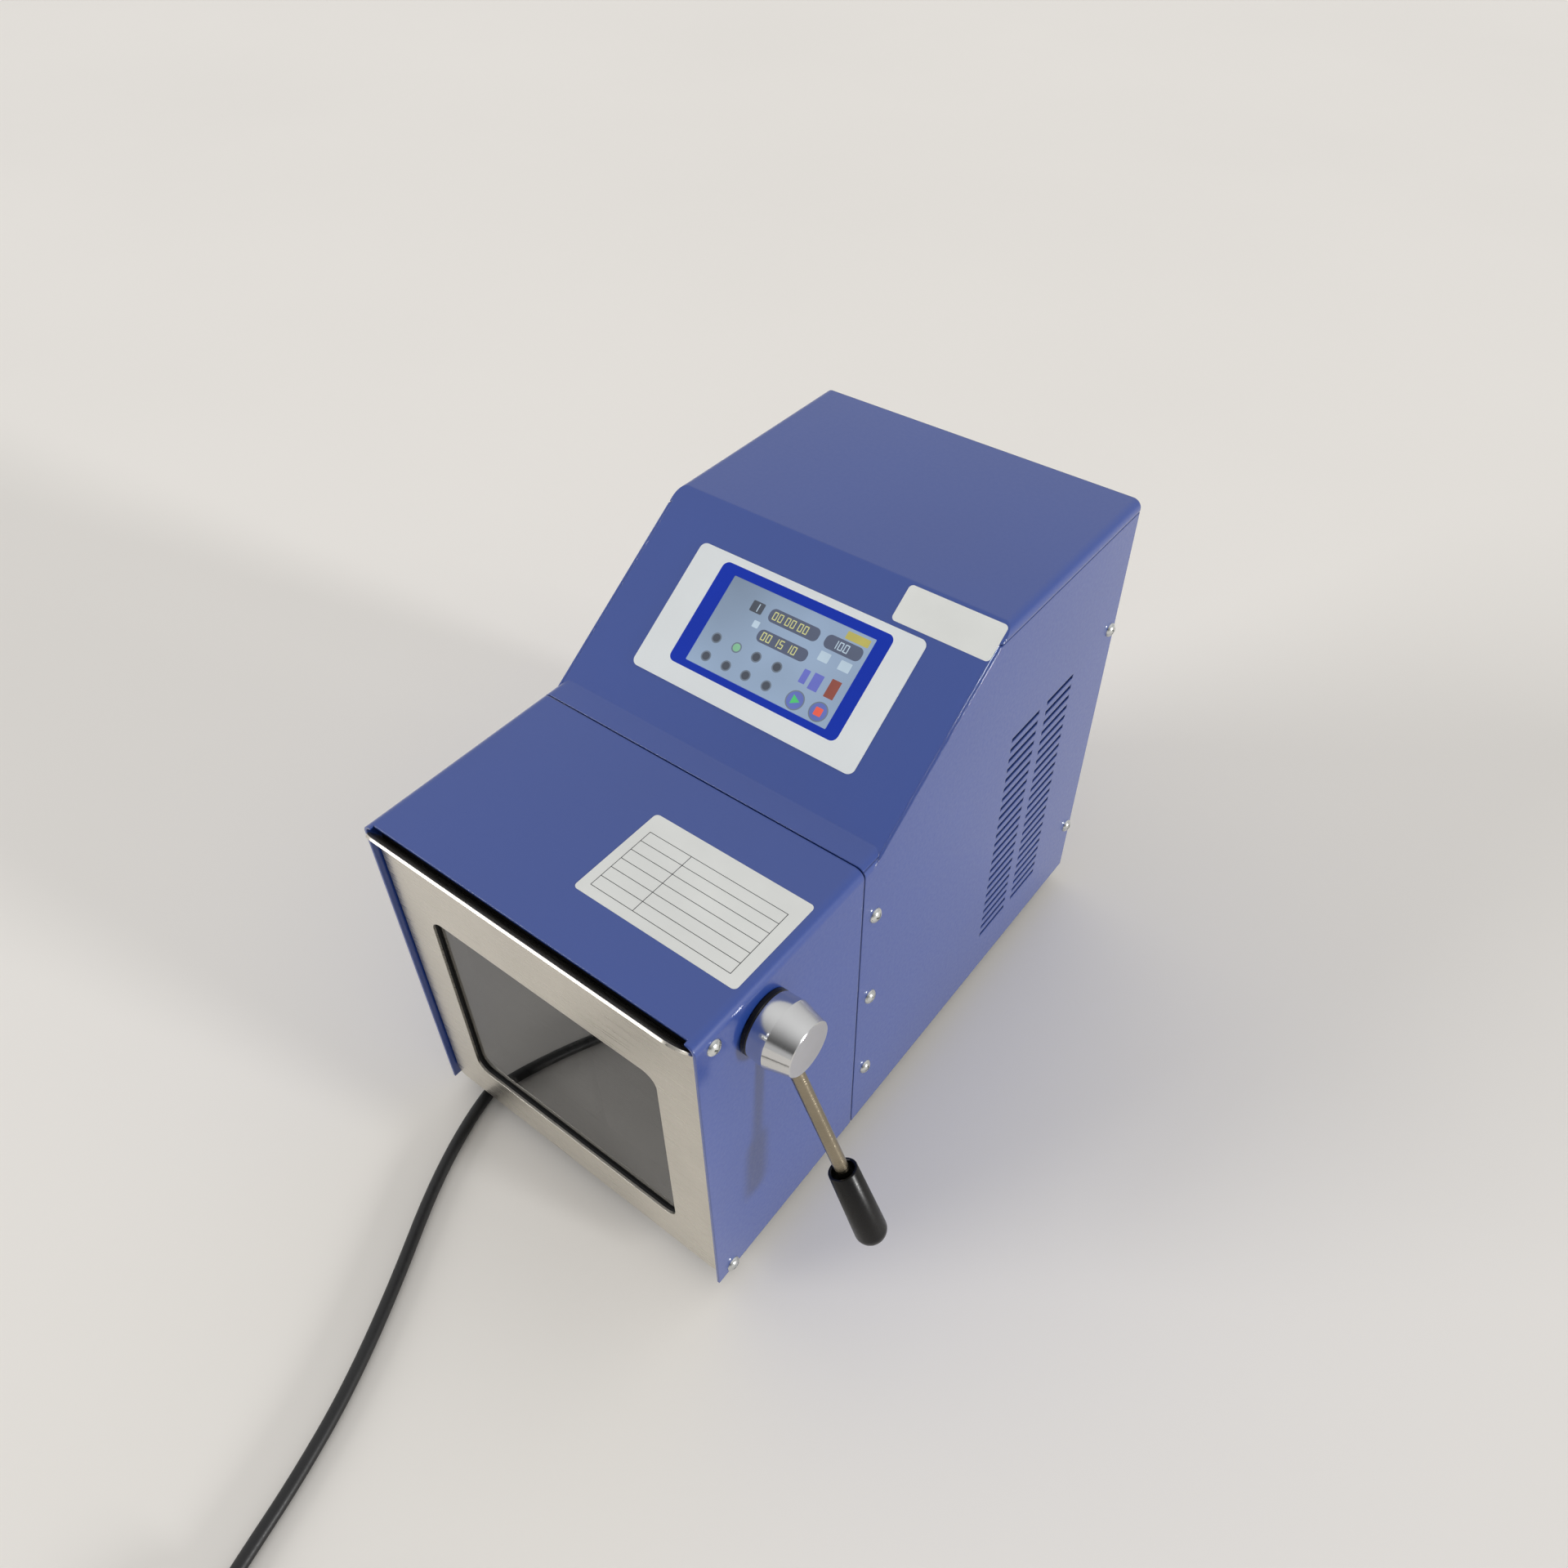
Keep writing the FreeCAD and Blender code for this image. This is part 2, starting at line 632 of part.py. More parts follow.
def make_chamber_cover():
    owner = body()
    outer_top = up(s.chamber_height)
    inner_top = up(s.chamber_height - s.sheet)
    sketch = sketch_on(owner, "XZ", deep(-s.side_lead))
    outline(sketch, [
        (across(0), up(0)),
        (across(0), outer_top),
        (across(0, 1), outer_top),
        (across(0, 1), up(0)),
        (across(s.sheet, 1), up(0)),
        (across(s.sheet, 1), inner_top),
        (across(s.sheet), inner_top),
        (across(s.sheet), up(0)),
    ])
    pad(owner, sketch, s.chamber_depth + s.side_lead, back=True)
    round_edges(owner, s.cover_bend, lambda edge: runs_along(edge, "y")
                and edge_middle(edge).z > float(outer_top) - 0.01)
    round_edges(owner, s.cover_bend - s.sheet, lambda edge: runs_along(edge, "y")
                and abs(edge_middle(edge).z - float(inner_top)) < 0.01)
    top_relief = box((across(s.cover_bend), deep(-s.side_lead - over), up(s.chamber_height - s.cover_bend)),
                     (across(s.cover_bend, 1), deep(0), up(s.chamber_height + over)))
    neck_hole = cylinder("x", lever_axis, across(s.sheet + over, 1), across(-over, 1),
                         s.hub_neck_radius + s.fit)
    holes = side_holes(-1, side_screws[:2]) + side_holes(1, side_screws[:2])
    node("chamber_cover", cut(owner, top_relief, neck_hole, *holes))


def housing_block(inset):
    """The housing's outline as a block, moved inwards by the inset."""
    owner = body()
    shift = inset * tangent(s.slope_angle / 2)
    extra = over if inset is not NO_INSET else 0
    front = deep(housing_front - extra)
    back = deep(panel_out + extra)
    low_top = up(s.chamber_height - inset)
    high_top = up(s.case_height - inset)
    sketch = sketch_on(owner, "YZ", across(inset))
    outline(sketch, [
        (front, up(0) - extra),
        (back, up(0) - extra),
        (back, high_top),
        (deep(upper_fold + shift), high_top),
        (deep(s.lower_fold + shift), low_top),
        (front, low_top),
    ])
    pad(owner, sketch, s.case_width - inset * 2)
    for level, radius in ((high_top, s.top_bend), (low_top, s.cover_bend)):
        round_edges(owner, radius - inset, lambda edge: not runs_along(edge, "x")
                    and abs(edge_middle(edge).z - float(level)) < 0.01
                    and abs(edge.tangentAt(edge.FirstParameter).y) > 0.99)
    return owner


NO_INSET = as_size(0)


def vent_slots(side):
    """Both columns of vent slots of one side, as a block to cut with."""
    owner = body()
    sketch = sketch_on(owner, "YZ", across(s.sheet / 2, side))
    low = s.vent_bottom - s.vent_slot / 2
    for column in range(2):
        front = s.vent_front + s.vent_columns_apart * column
        rectangle(sketch, (deep(front), up(low)), (deep(front + s.vent_width), up(low + s.vent_slot)))
    first = owner.newObject("PartDesign::Pad", "Pad")
    first.Profile = sketch
    first.Midplane = True
    bind(first, Length=s.sheet + over * 2)
    pattern = owner.newObject("PartDesign::LinearPattern", "Pattern")
    pattern.Originals = [first]
    pattern.Direction = (sketch, ["V_Axis"])
    pattern.Mode = "Spacing"
    bind(pattern, Offset=s.vent_pitch, Occurrences=s.vent_rows)
    owner.Tip = pattern
    return owner


def make_housing():
    shell = cut(housing_block(NO_INSET), housing_block(s.sheet))
    seam = up(s.top_seam)
    for name, side in SIDES.items():
        slab = box((across(-over, side), deep(0), up(-over)),
                   (across(s.sheet, side), deep(panel_out + over), seam - s.top_seam_gap))
        panel = common(shell, slab)
        node(f"housing_side_{name}", cut(panel, vent_slots(side), *side_holes(side, side_screws[2:])))
    between = box((across(s.sheet), deep(0), up(s.base_flange)),
                  (across(s.sheet, 1), deep(panel_out + over), up(s.case_height + over)))
    above = box((across(-over), deep(0), seam),
                (across(-over, 1), deep(panel_out + over), up(s.case_height + over)))
    screen_hole = slope_box((s.screen_left, s.screen_low, -s.sheet - over),
                            (s.screen_right, s.screen_high, over))
    node("housing_top", cut(common(shell, fuse(between, above)), screen_hole))


def on_slope(x, along, out):
    """A place on the slope: across, up the slope from its foot, and out of its face."""
    y = s.lower_fold + along * cosine(s.slope_angle) - out * sine(s.slope_angle)
    z = s.chamber_height + along * sine(s.slope_angle) + out * cosine(s.slope_angle)
    return (across(x), deep(y), up(z))


def slope_box(low, high):
    thing = doc.addObject("Part::Box", "SlopeBox")
    low = [as_size(value) for value in low]
    high = [as_size(value) for value in high]
    bind(thing, Length=high[0] - low[0], Width=high[1] - low[1], Height=high[2] - low[2])
    set_base(thing, on_slope(*low), Rotation(Vector(1, 0, 0), float(s.slope_angle)))
    thing.setExpression("Placement.Rotation.Angle", f"{s.slope_angle.text} * 1 deg")
    return thing


def make_base():
    tray = box((across(inner), deep(s.base_front), up(0)),
               (across(inner, 1), deep(panel_in - s.fit), up(s.base_flange)))
    space = box((across(inner + s.sheet), deep(s.base_front - over), up(s.sheet)),
                (across(inner + s.sheet, 1), deep(panel_out + over), up(s.base_flange + over)))
    node("base_plate", cut(tray, space))
    feet = []
    for side in SIDES.values():
        for y in (deep(s.foot_inset_y), deep(s.case_depth - s.foot_inset_y)):
            foot = doc.addObject("Part::Cone", "Foot")
            bind(foot, Radius1=s.foot_radius - s.foot_draft, Radius2=s.foot_radius, Height=s.foot_height)
            set_base(foot, (across(s.foot_inset_x, side), y, 0))
            feet.append(foot)
    node("rubber_feet", group(*feet))


def make_posts():
    posts = []
    heights = {"front": s.chamber_height - s.cover_bend, "back": s.rear_post_top}
    for side in SIDES.values():
        for place, height in heights.items():
            if place == "front":
                front = s.post_front - s.post_leg / 2
                back = front + s.post_leg
            else:
                back = panel_in - s.fit
                front = back - s.post_leg - s.sheet
            along = box((across(inner + s.sheet, side), deep(front), up(s.sheet)),
                        (across(inner + s.sheet * 2, side), deep(back), up(height)))
            inward = box((across(inner + s.sheet, side), deep(back - s.sheet), up(s.sheet)),
                         (across(inner + s.post_leg, side), deep(back), up(height)))
            holes = side_holes(side, side_screws[2:])
            if place == "back":
                for spot in rear_screw_places():
                    holes.append(cylinder("y", spot, deep(front), deep(panel_out), s.screw_radius))
            posts.append(cut(fuse(along, inward), *holes))
    node("frame_posts", group(*posts))


def make_rear_panel():
    top = up(s.case_height - inner)
    plate = body()
    sketch = sketch_on(plate, "XZ", deep(panel_in))
    rectangle(sketch, (across(inner), up(s.fit)), (across(inner, 1), top))
    pad(plate, sketch, s.sheet, back=True)
    round_edges(plate, s.top_bend - s.sheet, lambda edge: runs_along(edge, "y")
                and edge_middle(edge).z > float(top) - 0.01)
    out = (deep(panel_in - over), deep(panel_out + over))
    switch = box((across(s.switch_x - s.switch_width / 2), out[0], up(s.switch_z - s.switch_height / 2)),
                 (across(s.switch_x + s.switch_width / 2), out[1], up(s.switch_z + s.switch_height / 2)))
    round_holes = [(s.fan_x, s.fan_z, s.fan_bore), (s.fuse_x, s.switch_z, s.fuse_radius),
                   (s.gland_x, s.gland_z, s.gland_radius)]
    holes = [cylinder("y", (across(x), up(z)), *out, radius) for x, z, radius in round_holes]
    screw_holes = [cylinder("y", place, *out, s.screw_radius) for place in rear_screw_places()]
    node("rear_panel", cut(plate, switch, *holes, *screw_holes))


def rear_screw_places():
    """Across and height of the screws that hold the rear panel to the rear posts."""
    side = inner + (s.sheet + s.post_leg) / 2
    return [
        (across(side, sign), up(s.rear_screw_low + s.rear_screw_pitch * step))
        for sign in SIDES.values()
        for step in range(3)
    ]


def make_screws():
    screws = []
    for side in SIDES.values():
        for y, z in side_screws:
            screws.append(screw("x", (deep(y), up(z)), across(0, side), side))
    for place in rear_screw_places():
        screws.append(screw("y", place, deep(panel_out), 1))
    node("case_screws", group(*screws))


def make_door():
    owner = body()
    width = s.case_width - s.door_gap * 2
    lean = (sine(s.flare_angle), cosine(s.flare_angle))
    bend_back = s.flare_start + s.sheet * tangent(s.flare_angle / 2)
    tip = (door_face - s.flare_length * lean[0], s.flare_start + s.flare_length * lean[1])
    profile = sketch_on(owner, "YZ", across(s.door_gap))
    outline(profile, [
        (deep(door_face), up(s.door_bottom)),
        (deep(door_back), up(s.door_bottom)),
        (deep(door_back), up(bend_back)),
        (deep(tip[0] + s.sheet * lean[1]), up(tip[1] + s.sheet * lean[0])),
        (deep(tip[0]), up(tip[1])),
        (deep(door_face), up(s.flare_start)),
    ])
    pad(owner, profile, width)
    lip_low = float(up(s.flare_start + 1))
    round_edges(owner, s.lip_corner, lambda edge: edge.Length < float(s.sheet) * 1.1
                and edge_middle(edge).z > lip_low and not runs_along(edge, "x"))
    round_edges(owner, s.door_corner, lambda edge: runs_along(edge, "y")
                and edge_middle(edge).z < float(up(s.door_bottom)) + 0.01)
    window = sketch_on(owner, "XZ", deep(door_face))
    rectangle(window, (across(s.window_left), up(s.window_low)), (across(s.window_right), up(s.window_high)))
    pocket(owner, window)
    round_edges(owner, s.window_corner, lambda edge: runs_along(edge, "y")
                and float(up(s.window_low)) - 1 < edge_middle(edge).z < float(up(s.window_high)) + 1)
    ear_low = s.lever_z - s.catch_ear
    ear_high = s.lever_z + s.catch_ear
    for left_face in (across(s.door_gap), across(s.door_gap + s.sheet, 1)):
        flange = sketch_on(owner, "YZ", left_face)
        outline(flange, [
            (deep(door_back), up(s.door_bottom)),
            (deep(s.flange_depth), up(s.hinge_z)),
            (deep(s.flange_depth), up(ear_low)),
            (deep(s.catch_y), up(ear_low)),
            (deep(s.catch_y), up(ear_high)),
            (deep(s.flange_depth), up(ear_high)),
            (deep(s.flange_depth), up(s.flange_top)),
            (deep(door_back), up(s.flange_top)),
        ])
        pad(owner, flange, s.sheet)
        for centre, radius in ((hinge_axis, s.hinge_ear), (catch_axis, s.catch_ear)):
            ear = sketch_on(owner, "YZ", left_face)
            circle(ear, centre, radius)
            pad(owner, ear, s.sheet)
    hinge_hole = sketch_on(owner, "YZ", across(s.door_gap))
    circle(hinge_hole, hinge_axis, s.hinge_radius + s.running)
    pocket(owner, hinge_hole)
    node("door_panel", owner)


def make_hinges():
    pins = []
    for side in SIDES.values():
        ear_end = s.door_gap + s.sheet + s.fit
        pin = cylinder("x", hinge_axis, across(s.sheet, side), across(ear_end, side), s.hinge_radius)
        head = cylinder("x", hinge_axis, across(ear_end, side), across(ear_end + s.pin_head, side),
                        s.pin_head_radius)
        pins.append(cut(fuse(pin, head), *side_holes(side, side_screws[:1])))
    node("hinge_pins", group(*pins))


def window_box(lap, front, back):
    """A box round the window, wider than it by the lap on every side."""
    return box((across(s.window_left - lap), deep(front), up(s.window_low - lap)),
               (across(s.window_right + lap), deep(back), up(s.window_high + lap)))


def frame_screw_places():
    side = s.glass_lap + s.frame_lap / 2
    middle_x = (s.window_left + s.window_right) / 2
    middle_z = (s.window_low + s.window_high) / 2
    columns = (s.window_left - side, middle_x, s.window_right + side)
    rows = (s.window_low - side, middle_z, s.window_high + side)
    return [(across(x), up(z)) for x in columns for z in rows if not (x is middle_x and z is middle_z)]


def make_window():
    owner = body()
    lap = s.glass_lap
    sketch = sketch_on(owner, "XZ", deep(door_back))
    rectangle(sketch, (across(s.window_left - lap), up(s.window_low - lap)),
              (across(s.window_right + lap), up(s.window_high + lap)))
    pad(owner, sketch, s.gasket_thick, back=True)
    opening = sketch_on(owner, "XZ", deep(door_back))
    rectangle(opening, (across(s.window_left), up(s.window_low)), (across(s.window_right), up(s.window_high)))
    pocket(owner, opening)
    round_edges(owner, s.window_corner, lambda edge: runs_along(edge, "y")
                and float(across(s.window_left)) - 1 < edge_middle(edge).x < float(across(s.window_right)) + 1
                and float(up(s.window_low)) - 1 < edge_middle(edge).z < float(up(s.window_high)) + 1)
    node("window_gasket", owner)
    node("window_glass", window_box(lap, glass_front, glass_back))
    frame_back = glass_back + s.frame_lip
    frame = cut(window_box(lap + s.frame_lap, door_back, frame_back),
                window_box(lap, door_back - over, glass_back),
                window_box(lap - s.frame_lip, door_back, frame_back + over))
    screws = []
    holes = []
    for place in frame_screw_places():
        holes.append(cylinder("y", place, deep(door_back - over), deep(frame_back + over), s.stud_radius))
        stud = cylinder("y", place, deep(door_back), deep(frame_back), s.stud_radius)
        head = cylinder("y", place, deep(frame_back), deep(frame_back + s.nut_height), s.nut_radius)
        screws.append(fuse(stud, head))
    node("window_frame", cut(frame, *holes))
    node("frame_nuts", group(*screws))


def make_liner():
    block = box((across(s.liner_side), deep(s.liner_front), up(s.sheet)),
                (across(s.liner_side, 1), deep(liner_wall_back), up(s.clamp_low)))
    space = box((across(liner_wall_in), deep(s.liner_front - over), up(s.liner_floor + s.sheet)),
                (across(liner_wall_in, 1), deep(s.liner_back), up(s.clamp_low + over)))
    below = box((across(liner_wall_in), deep(s.liner_front - over), up(s.sheet - over)),
                (across(liner_wall_in, 1), deep(s.liner_back), up(s.liner_floor)))
    shaft_hole = cylinder("x", lever_axis, across(s.liner_side - over), across(s.liner_side - over, 1),
                          s.shaft_radius + s.bush_wall)
    rod_holes = [cylinder("y", (across(rod_side, side), up(s.drive_z)), deep(s.liner_back - over),
                          deep(liner_wall_back + over), s.push_radius + over) for side in SIDES.values()]
    node("chamber_liner", cut(block, space, below, shaft_hole, *rod_holes))


def make_bag_clamp():
    bar = box((across(inner), deep(clamp_front), up(s.clamp_low)),
              (across(inner, 1), deep(clamp_front + s.clamp_deep), up(s.clamp_high)))
    holes = [hole for side in SIDES.values() for hole in side_holes(side, side_screws[1:2])]
    node("clamp_bar", cut(bar, *holes))
    node("clamp_strip", box((across(s.strip_side), deep(strip_front), up(s.clamp_low)),
                            (across(s.strip_side, 1), deep(clamp_front), up(s.clamp_high))))


def rod_turn():
    """Points a piece built upwards down along the lever rod."""
    return Rotation(Vector(0, 1, 0), 180 - float(s.rod_tilt))


def along_rod(thing):
    set_base(thing, (across(-s.rod_out, 1), *lever_axis), rod_turn())
    thing.setExpression("Placement.Rotation.Angle", f"(180 - {s.rod_tilt.text}) * 1 deg")
    return thing


def rod_cylinder(start, stop, radius):
    """A cylinder on the rod's axis, its ends measured from the hub's axis."""
    thing = doc.addObject("Part::Cylinder", "RodCylinder")
    bind(thing, Radius=radius, Height=stop - start)
    away = (sine(s.rod_tilt), -cosine(s.rod_tilt))
    base = (across(-s.rod_out, 1) + start * away[0], lever_axis[0], lever_axis[1] + start * away[1])
    set_base(thing, base, rod_turn())
    thing.setExpression("Placement.Rotation.Angle", f"(180 - {s.rod_tilt.text}) * 1 deg")
    return thing


def make_lever():
    hub = turned(lever_axis, [
        (across(hook_out - s.fit, 1), 0),
        (across(hook_out - s.fit, 1), s.hub_neck_radius),
        (across(-s.hub_gap, 1), s.hub_neck_radius),
        (across(-s.hub_gap, 1), s.hub_radius),
        (across(-s.hub_straight, 1), s.hub_radius),
        (across(-s.hub_length, 1), s.hub_end_radius),
        (across(-s.hub_length, 1), 0),
    ], "x")
    shaft_end = across(-s.rod_out - s.shaft_radius, 1)
    bore = cylinder("x", lever_axis, across(hook_in, 1), shaft_end, s.shaft_radius)
    rod_start = s.shaft_radius / cosine(s.rod_tilt) + s.rod_radius * tangent(s.rod_tilt)
    rod_hole = rod_cylinder(0, s.hub_radius * 2, s.rod_radius)
    node("lever_hub", cut(hub, bore, rod_hole))
    bore_end = s.grip_start + s.grip_bore
    node("lever_rod", rod_cylinder(rod_start, bore_end, s.rod_radius))
    end = s.grip_start + s.grip_length
    grip = turned((0, 0), [
        (s.grip_start + s.grip_recess, s.rod_radius),
        (s.grip_start + s.grip_recess, s.grip_small - s.grip_wall),
        (s.grip_start, s.grip_small - s.grip_wall),
        (s.grip_start, s.grip_small),
        (end, s.grip_large),
        (end, 0),
        (bore_end, 0),
        (bore_end, s.rod_radius),
    ], "z")
    round_edges(grip, s.grip_round, lambda edge: edge.Curve.TypeId == "Part::GeomCircle"
                and edge_middle(edge).z > float(end) - 0.01)
    node("lever_grip", along_rod(grip))
    node("lever_shaft", cylinder("x", lever_axis, across(hook_out - s.fit), shaft_end, s.shaft_radius))
    hooks = []
    bushes = []
    for side in SIDES.values():
        collar = cylinder("x", lever_axis, across(hook_in, side), across(hook_out, side), s.hook_hub)
        arm_low = s.lever_z + s.catch_radius + s.hook_lift
        arm = box((across(hook_in, side), deep(s.lever_y - s.hook_reach), up(arm_low)),
                  (across(hook_out, side), deep(s.lever_y), up(s.lever_z + s.hook_hub)))
        bore = cylinder("x", lever_axis, across(hook_in + over, side), across(hook_out - over, side),
                        s.shaft_radius)
        hooks.append(cut(fuse(collar, arm), bore))
        bush_end = liner_wall_in + s.bush_flange
        shell = cylinder("x", lever_axis, across(s.liner_side, side), across(bush_end, side),
                         s.shaft_radius + s.bush_wall)
        flange = cylinder("x", lever_axis, across(s.liner_side - s.bush_flange, side),
                          across(s.liner_side, side), s.shaft_radius + s.bush_wall * 2)
        hole = cylinder("x", lever_axis, across(hook_in, side), across(bush_end + over, side),
                        s.shaft_radius + s.running)
        bushes.append(cut(fuse(shell, flange), hole))
    node("latch_hooks", group(*hooks))
    node("shaft_bushes", group(*bushes))
    node("catch_pins", group(*[cylinder("x", catch_axis, across(s.door_gap + s.sheet, side),
                                        across(hook_in, side), s.catch_radius) for side in SIDES.values()]))


def make_paddles():
    for name, side in SIDES.items():
        low_x, high_x = sorted((rod_side - s.paddle_width / 2, rod_side + s.paddle_width / 2), key=float)
        left, right = sorted((across(low_x, side), across(high_x, side)), key=float)
        owner = body()
        sketch = sketch_on(owner, "XZ", deep(s.paddle_front))
        rectangle(sketch, (left, up(s.paddle_low)), (right, up(s.paddle_high)))
        pad(owner, sketch, s.paddle_thick, back=True)
        round_edges(owner, s.paddle_corner, lambda edge: runs_along(edge, "y"))
        face = float(deep(s.paddle_front))
        round_edges(owner, s.paddle_round, lambda edge: abs(edge_middle(edge).y - face) < 0.01
                    and abs(edge.valueAt(edge.FirstParameter).y - face) < 0.01)
        back = s.paddle_front + s.paddle_thick
        place = (across(rod_side, side), up(s.drive_z))
        boss = cylinder("y", place, deep(back), deep(back + s.boss_length), s.boss_radius)
        node(f"paddle_{name}", fuse(owner, boss))
        node(f"push_rod_{name}", cylinder("y", place, deep(back + s.boss_length), deep(s.yoke_front),
                                          s.push_radius))


def make_guides():
    guide_back = liner_wall_back + s.guide_length
    guide_side = rod_side - s.guide_margin
    block = box((across(guide_side), deep(liner_wall_back), up(s.drive_z - s.guide_height / 2)),
                (across(guide_side, 1), deep(guide_back), up(s.drive_z + s.guide_height / 2)))
    bores = []
    bushes = []
    seals = []
    for side in SIDES.values():
        place = (across(rod_side, side), up(s.drive_z))
        hole_radius = s.push_radius + s.running
        bores.append(cylinder("y", place, deep(s.liner_back), deep(guide_back + over), s.push_bush_radius))
        bushes.append(ring("y", place, deep(liner_wall_back), deep(liner_wall_back + s.push_bush_length),
                           s.push_bush_radius, hole_radius))
        sleeve = cylinder("y", place, deep(guide_back - s.push_bush_length), deep(guide_back),
                          s.push_bush_radius)
        flange = cylinder("y", place, deep(guide_back), deep(guide_back + s.bush_flange),
                          s.push_bush_radius + s.bush_flange)
        hole_ends = (deep(liner_wall_back), deep(guide_back + s.bush_flange + over))
        hole = cylinder("y", place, *hole_ends, hole_radius)
        bushes.append(cut(fuse(sleeve, flange), hole))
        seals.append(ring("y", place, deep(s.liner_back - s.seal_length), deep(s.liner_back),
                          s.seal_radius, hole_radius))
    node("guide_block", cut(block, *bores))
    node("rod_bushes", group(*bushes))
    node("rod_seals", group(*seals))


def make_yokes():
    slot_height = s.throw + slot_half
    for name, side in SIDES.items():
        owner = body()
        x = rod_side - s.yoke_thick / 2 if side < 0 else rod_side + s.yoke_thick / 2
        sketch = sketch_on(owner, "YZ", across(x, side))
        rectangle(sketch, (deep(s.yoke_front), up(s.drive_z - slot_height - s.yoke_wall)),
                  (deep(crank_y + slot_half + s.yoke_wall), up(s.drive_z + slot_height + s.yoke_wall)))
        pad(owner, sketch, s.yoke_thick)
        round_edges(owner, s.yoke_wall, lambda edge: runs_along(edge, "x"))
        slot = sketch_on(owner, "YZ", across(x, side))
        rectangle(slot, (deep(crank_y - slot_half), up(s.drive_z - slot_height)),
                  (deep(crank_y + slot_half), up(s.drive_z + slot_height)))
        pocket(owner, slot)
        node(f"yoke_{name}", owner)


def make_crank():
    pin_half = s.yoke_thick / 2 + s.web_gap
    web_side = pin_half + s.web_thick
    bearing_side = s.bearing_width / 2
    journals = [
        (across(s.end_bearing - bearing_side - s.web_gap), across(rod_side - pin_half)),
        (across(rod_side + pin_half), across(rod_side + pin_half, 1)),
        (across(rod_side - pin_half, 1), across(s.pulley_side, 1)),
    ]
    pieces = [cylinder("x", crank_axis, *ends, s.journal_radius) for ends in journals]
    rollers = []
    for side in SIDES.values():
        pin_axis = (crank_axis[0], crank_axis[1] - side * s.throw)
        for start, stop in ((-web_side, -pin_half), (pin_half, web_side)):
            web_ends = (across(rod_side + start, side), across(rod_side + stop, side))
            pieces.append(cylinder("x", crank_axis, *web_ends, s.web_radius))
        ends = (across(rod_side - pin_half, side), across(rod_side + pin_half, side))
        pieces.append(cylinder("x", pin_axis, *ends, s.crank_pin_radius))
        rollers.append(ring("x", pin_axis, *ends, s.roller_radius, s.crank_pin_radius))
    node("crankshaft", fuse(*pieces))
    node("crank_rollers", group(*rollers))
    bearings = []
    blocks = []
    for place in (across(s.end_bearing), across(s.case_width / 2), across(s.end_bearing, 1)):
        start, stop = place - bearing_side, place + bearing_side
        bearings.append(ring("x", crank_axis, start, stop, s.bearing_radius, s.journal_radius + s.running))
        half = s.bearing_radius + s.block_wall
        column = box((start, crank_axis[0] - half, up(s.sheet)), (stop, crank_axis[0] + half, crank_axis[1]))
        crown = cylinder("x", crank_axis, start, stop, half)
        bore = cylinder("x", crank_axis, start - over, stop + over, s.bearing_radius)
        blocks.append(cut(fuse(column, crown), bore))
    node("crank_bearings", group(*bearings))
    node("bearing_blocks", group(*blocks))


def pulley(axis, radius, bore_radius, web):
    """A flanged belt pulley on an axis across the instrument, turned from one profile."""
    rim = radius + s.pulley_flange_rise
    start, stop = across(s.pulley_side + s.pulley_width, 1), across(s.pulley_side, 1)
    wheel = turned(axis, [
        (start, bore_radius),
        (start, rim),
        (start + s.pulley_flange, rim),
        (start + s.pulley_flange, radius),
        (stop - s.pulley_flange, radius),
        (stop - s.pulley_flange, rim),
        (stop, rim),
        (stop, bore_radius),
    ], "x")
    if not web:
        return wheel
    centre = (start + stop) / 2
    rim_inside = radius - s.pulley_flange * 2
    left = ring("x", axis, start - over, centre - s.pulley_web / 2, rim_inside, s.pulley_hub)
    right = ring("x", axis, centre + s.pulley_web / 2, stop + over, rim_inside, s.pulley_hub)
    return cut(wheel, left, right)


def belt_loop(clearance):
    """The belt's inner or outer outline as a face: two arcs and two tangent lines."""
    first = Vector(0, float(crank_axis[0]), float(crank_axis[1]))
    second = Vector(0, float(motor_axis[0]), float(motor_axis[1]))
    large = float(s.pulley_radius + clearance)
    small = float(s.motor_pulley_radius + clearance)
    line = second - first
    heading = math.atan2(line.z, line.y)
    spread = math.acos((large - small) / line.Length)

    def rim(centre, radius, angle):
        return centre + Vector(0, radius * math.cos(angle), radius * math.sin(angle))

    above = heading + spread
    below = heading - spread
    edges = [
        Part.makeLine(rim(first, large, above), rim(second, small, above)),
        Part.Arc(*[rim(second, small, angle) for angle in (above, heading, below)]).toShape(),
        Part.makeLine(rim(second, small, below), rim(first, large, below)),
        Part.Arc(*[rim(first, large, angle) for angle in (below, heading + math.pi, above)]).toShape(),
    ]
    return Part.Face(Part.Wire(edges))


def make_belt_drive():
    node("driven_pulley", pulley(crank_axis, s.pulley_radius, s.journal_radius, True))
    node("motor_pulley", pulley(motor_axis, s.motor_pulley_radius, s.motor_shaft_radius, False))
    start = across(s.pulley_side + s.pulley_width - s.pulley_flange - s.fit, 1)
    width = s.pulley_width - (s.pulley_flange + s.fit) * 2
    loop = belt_loop(s.fit + s.belt_thick).cut(belt_loop(s.fit))
    belt = doc.addObject("Part::Feature", "Belt")
    belt.Shape = loop.extrude(Vector(float(width), 0, 0))
    set_base(belt, (start, 0, 0))
    node("drive_belt", belt)


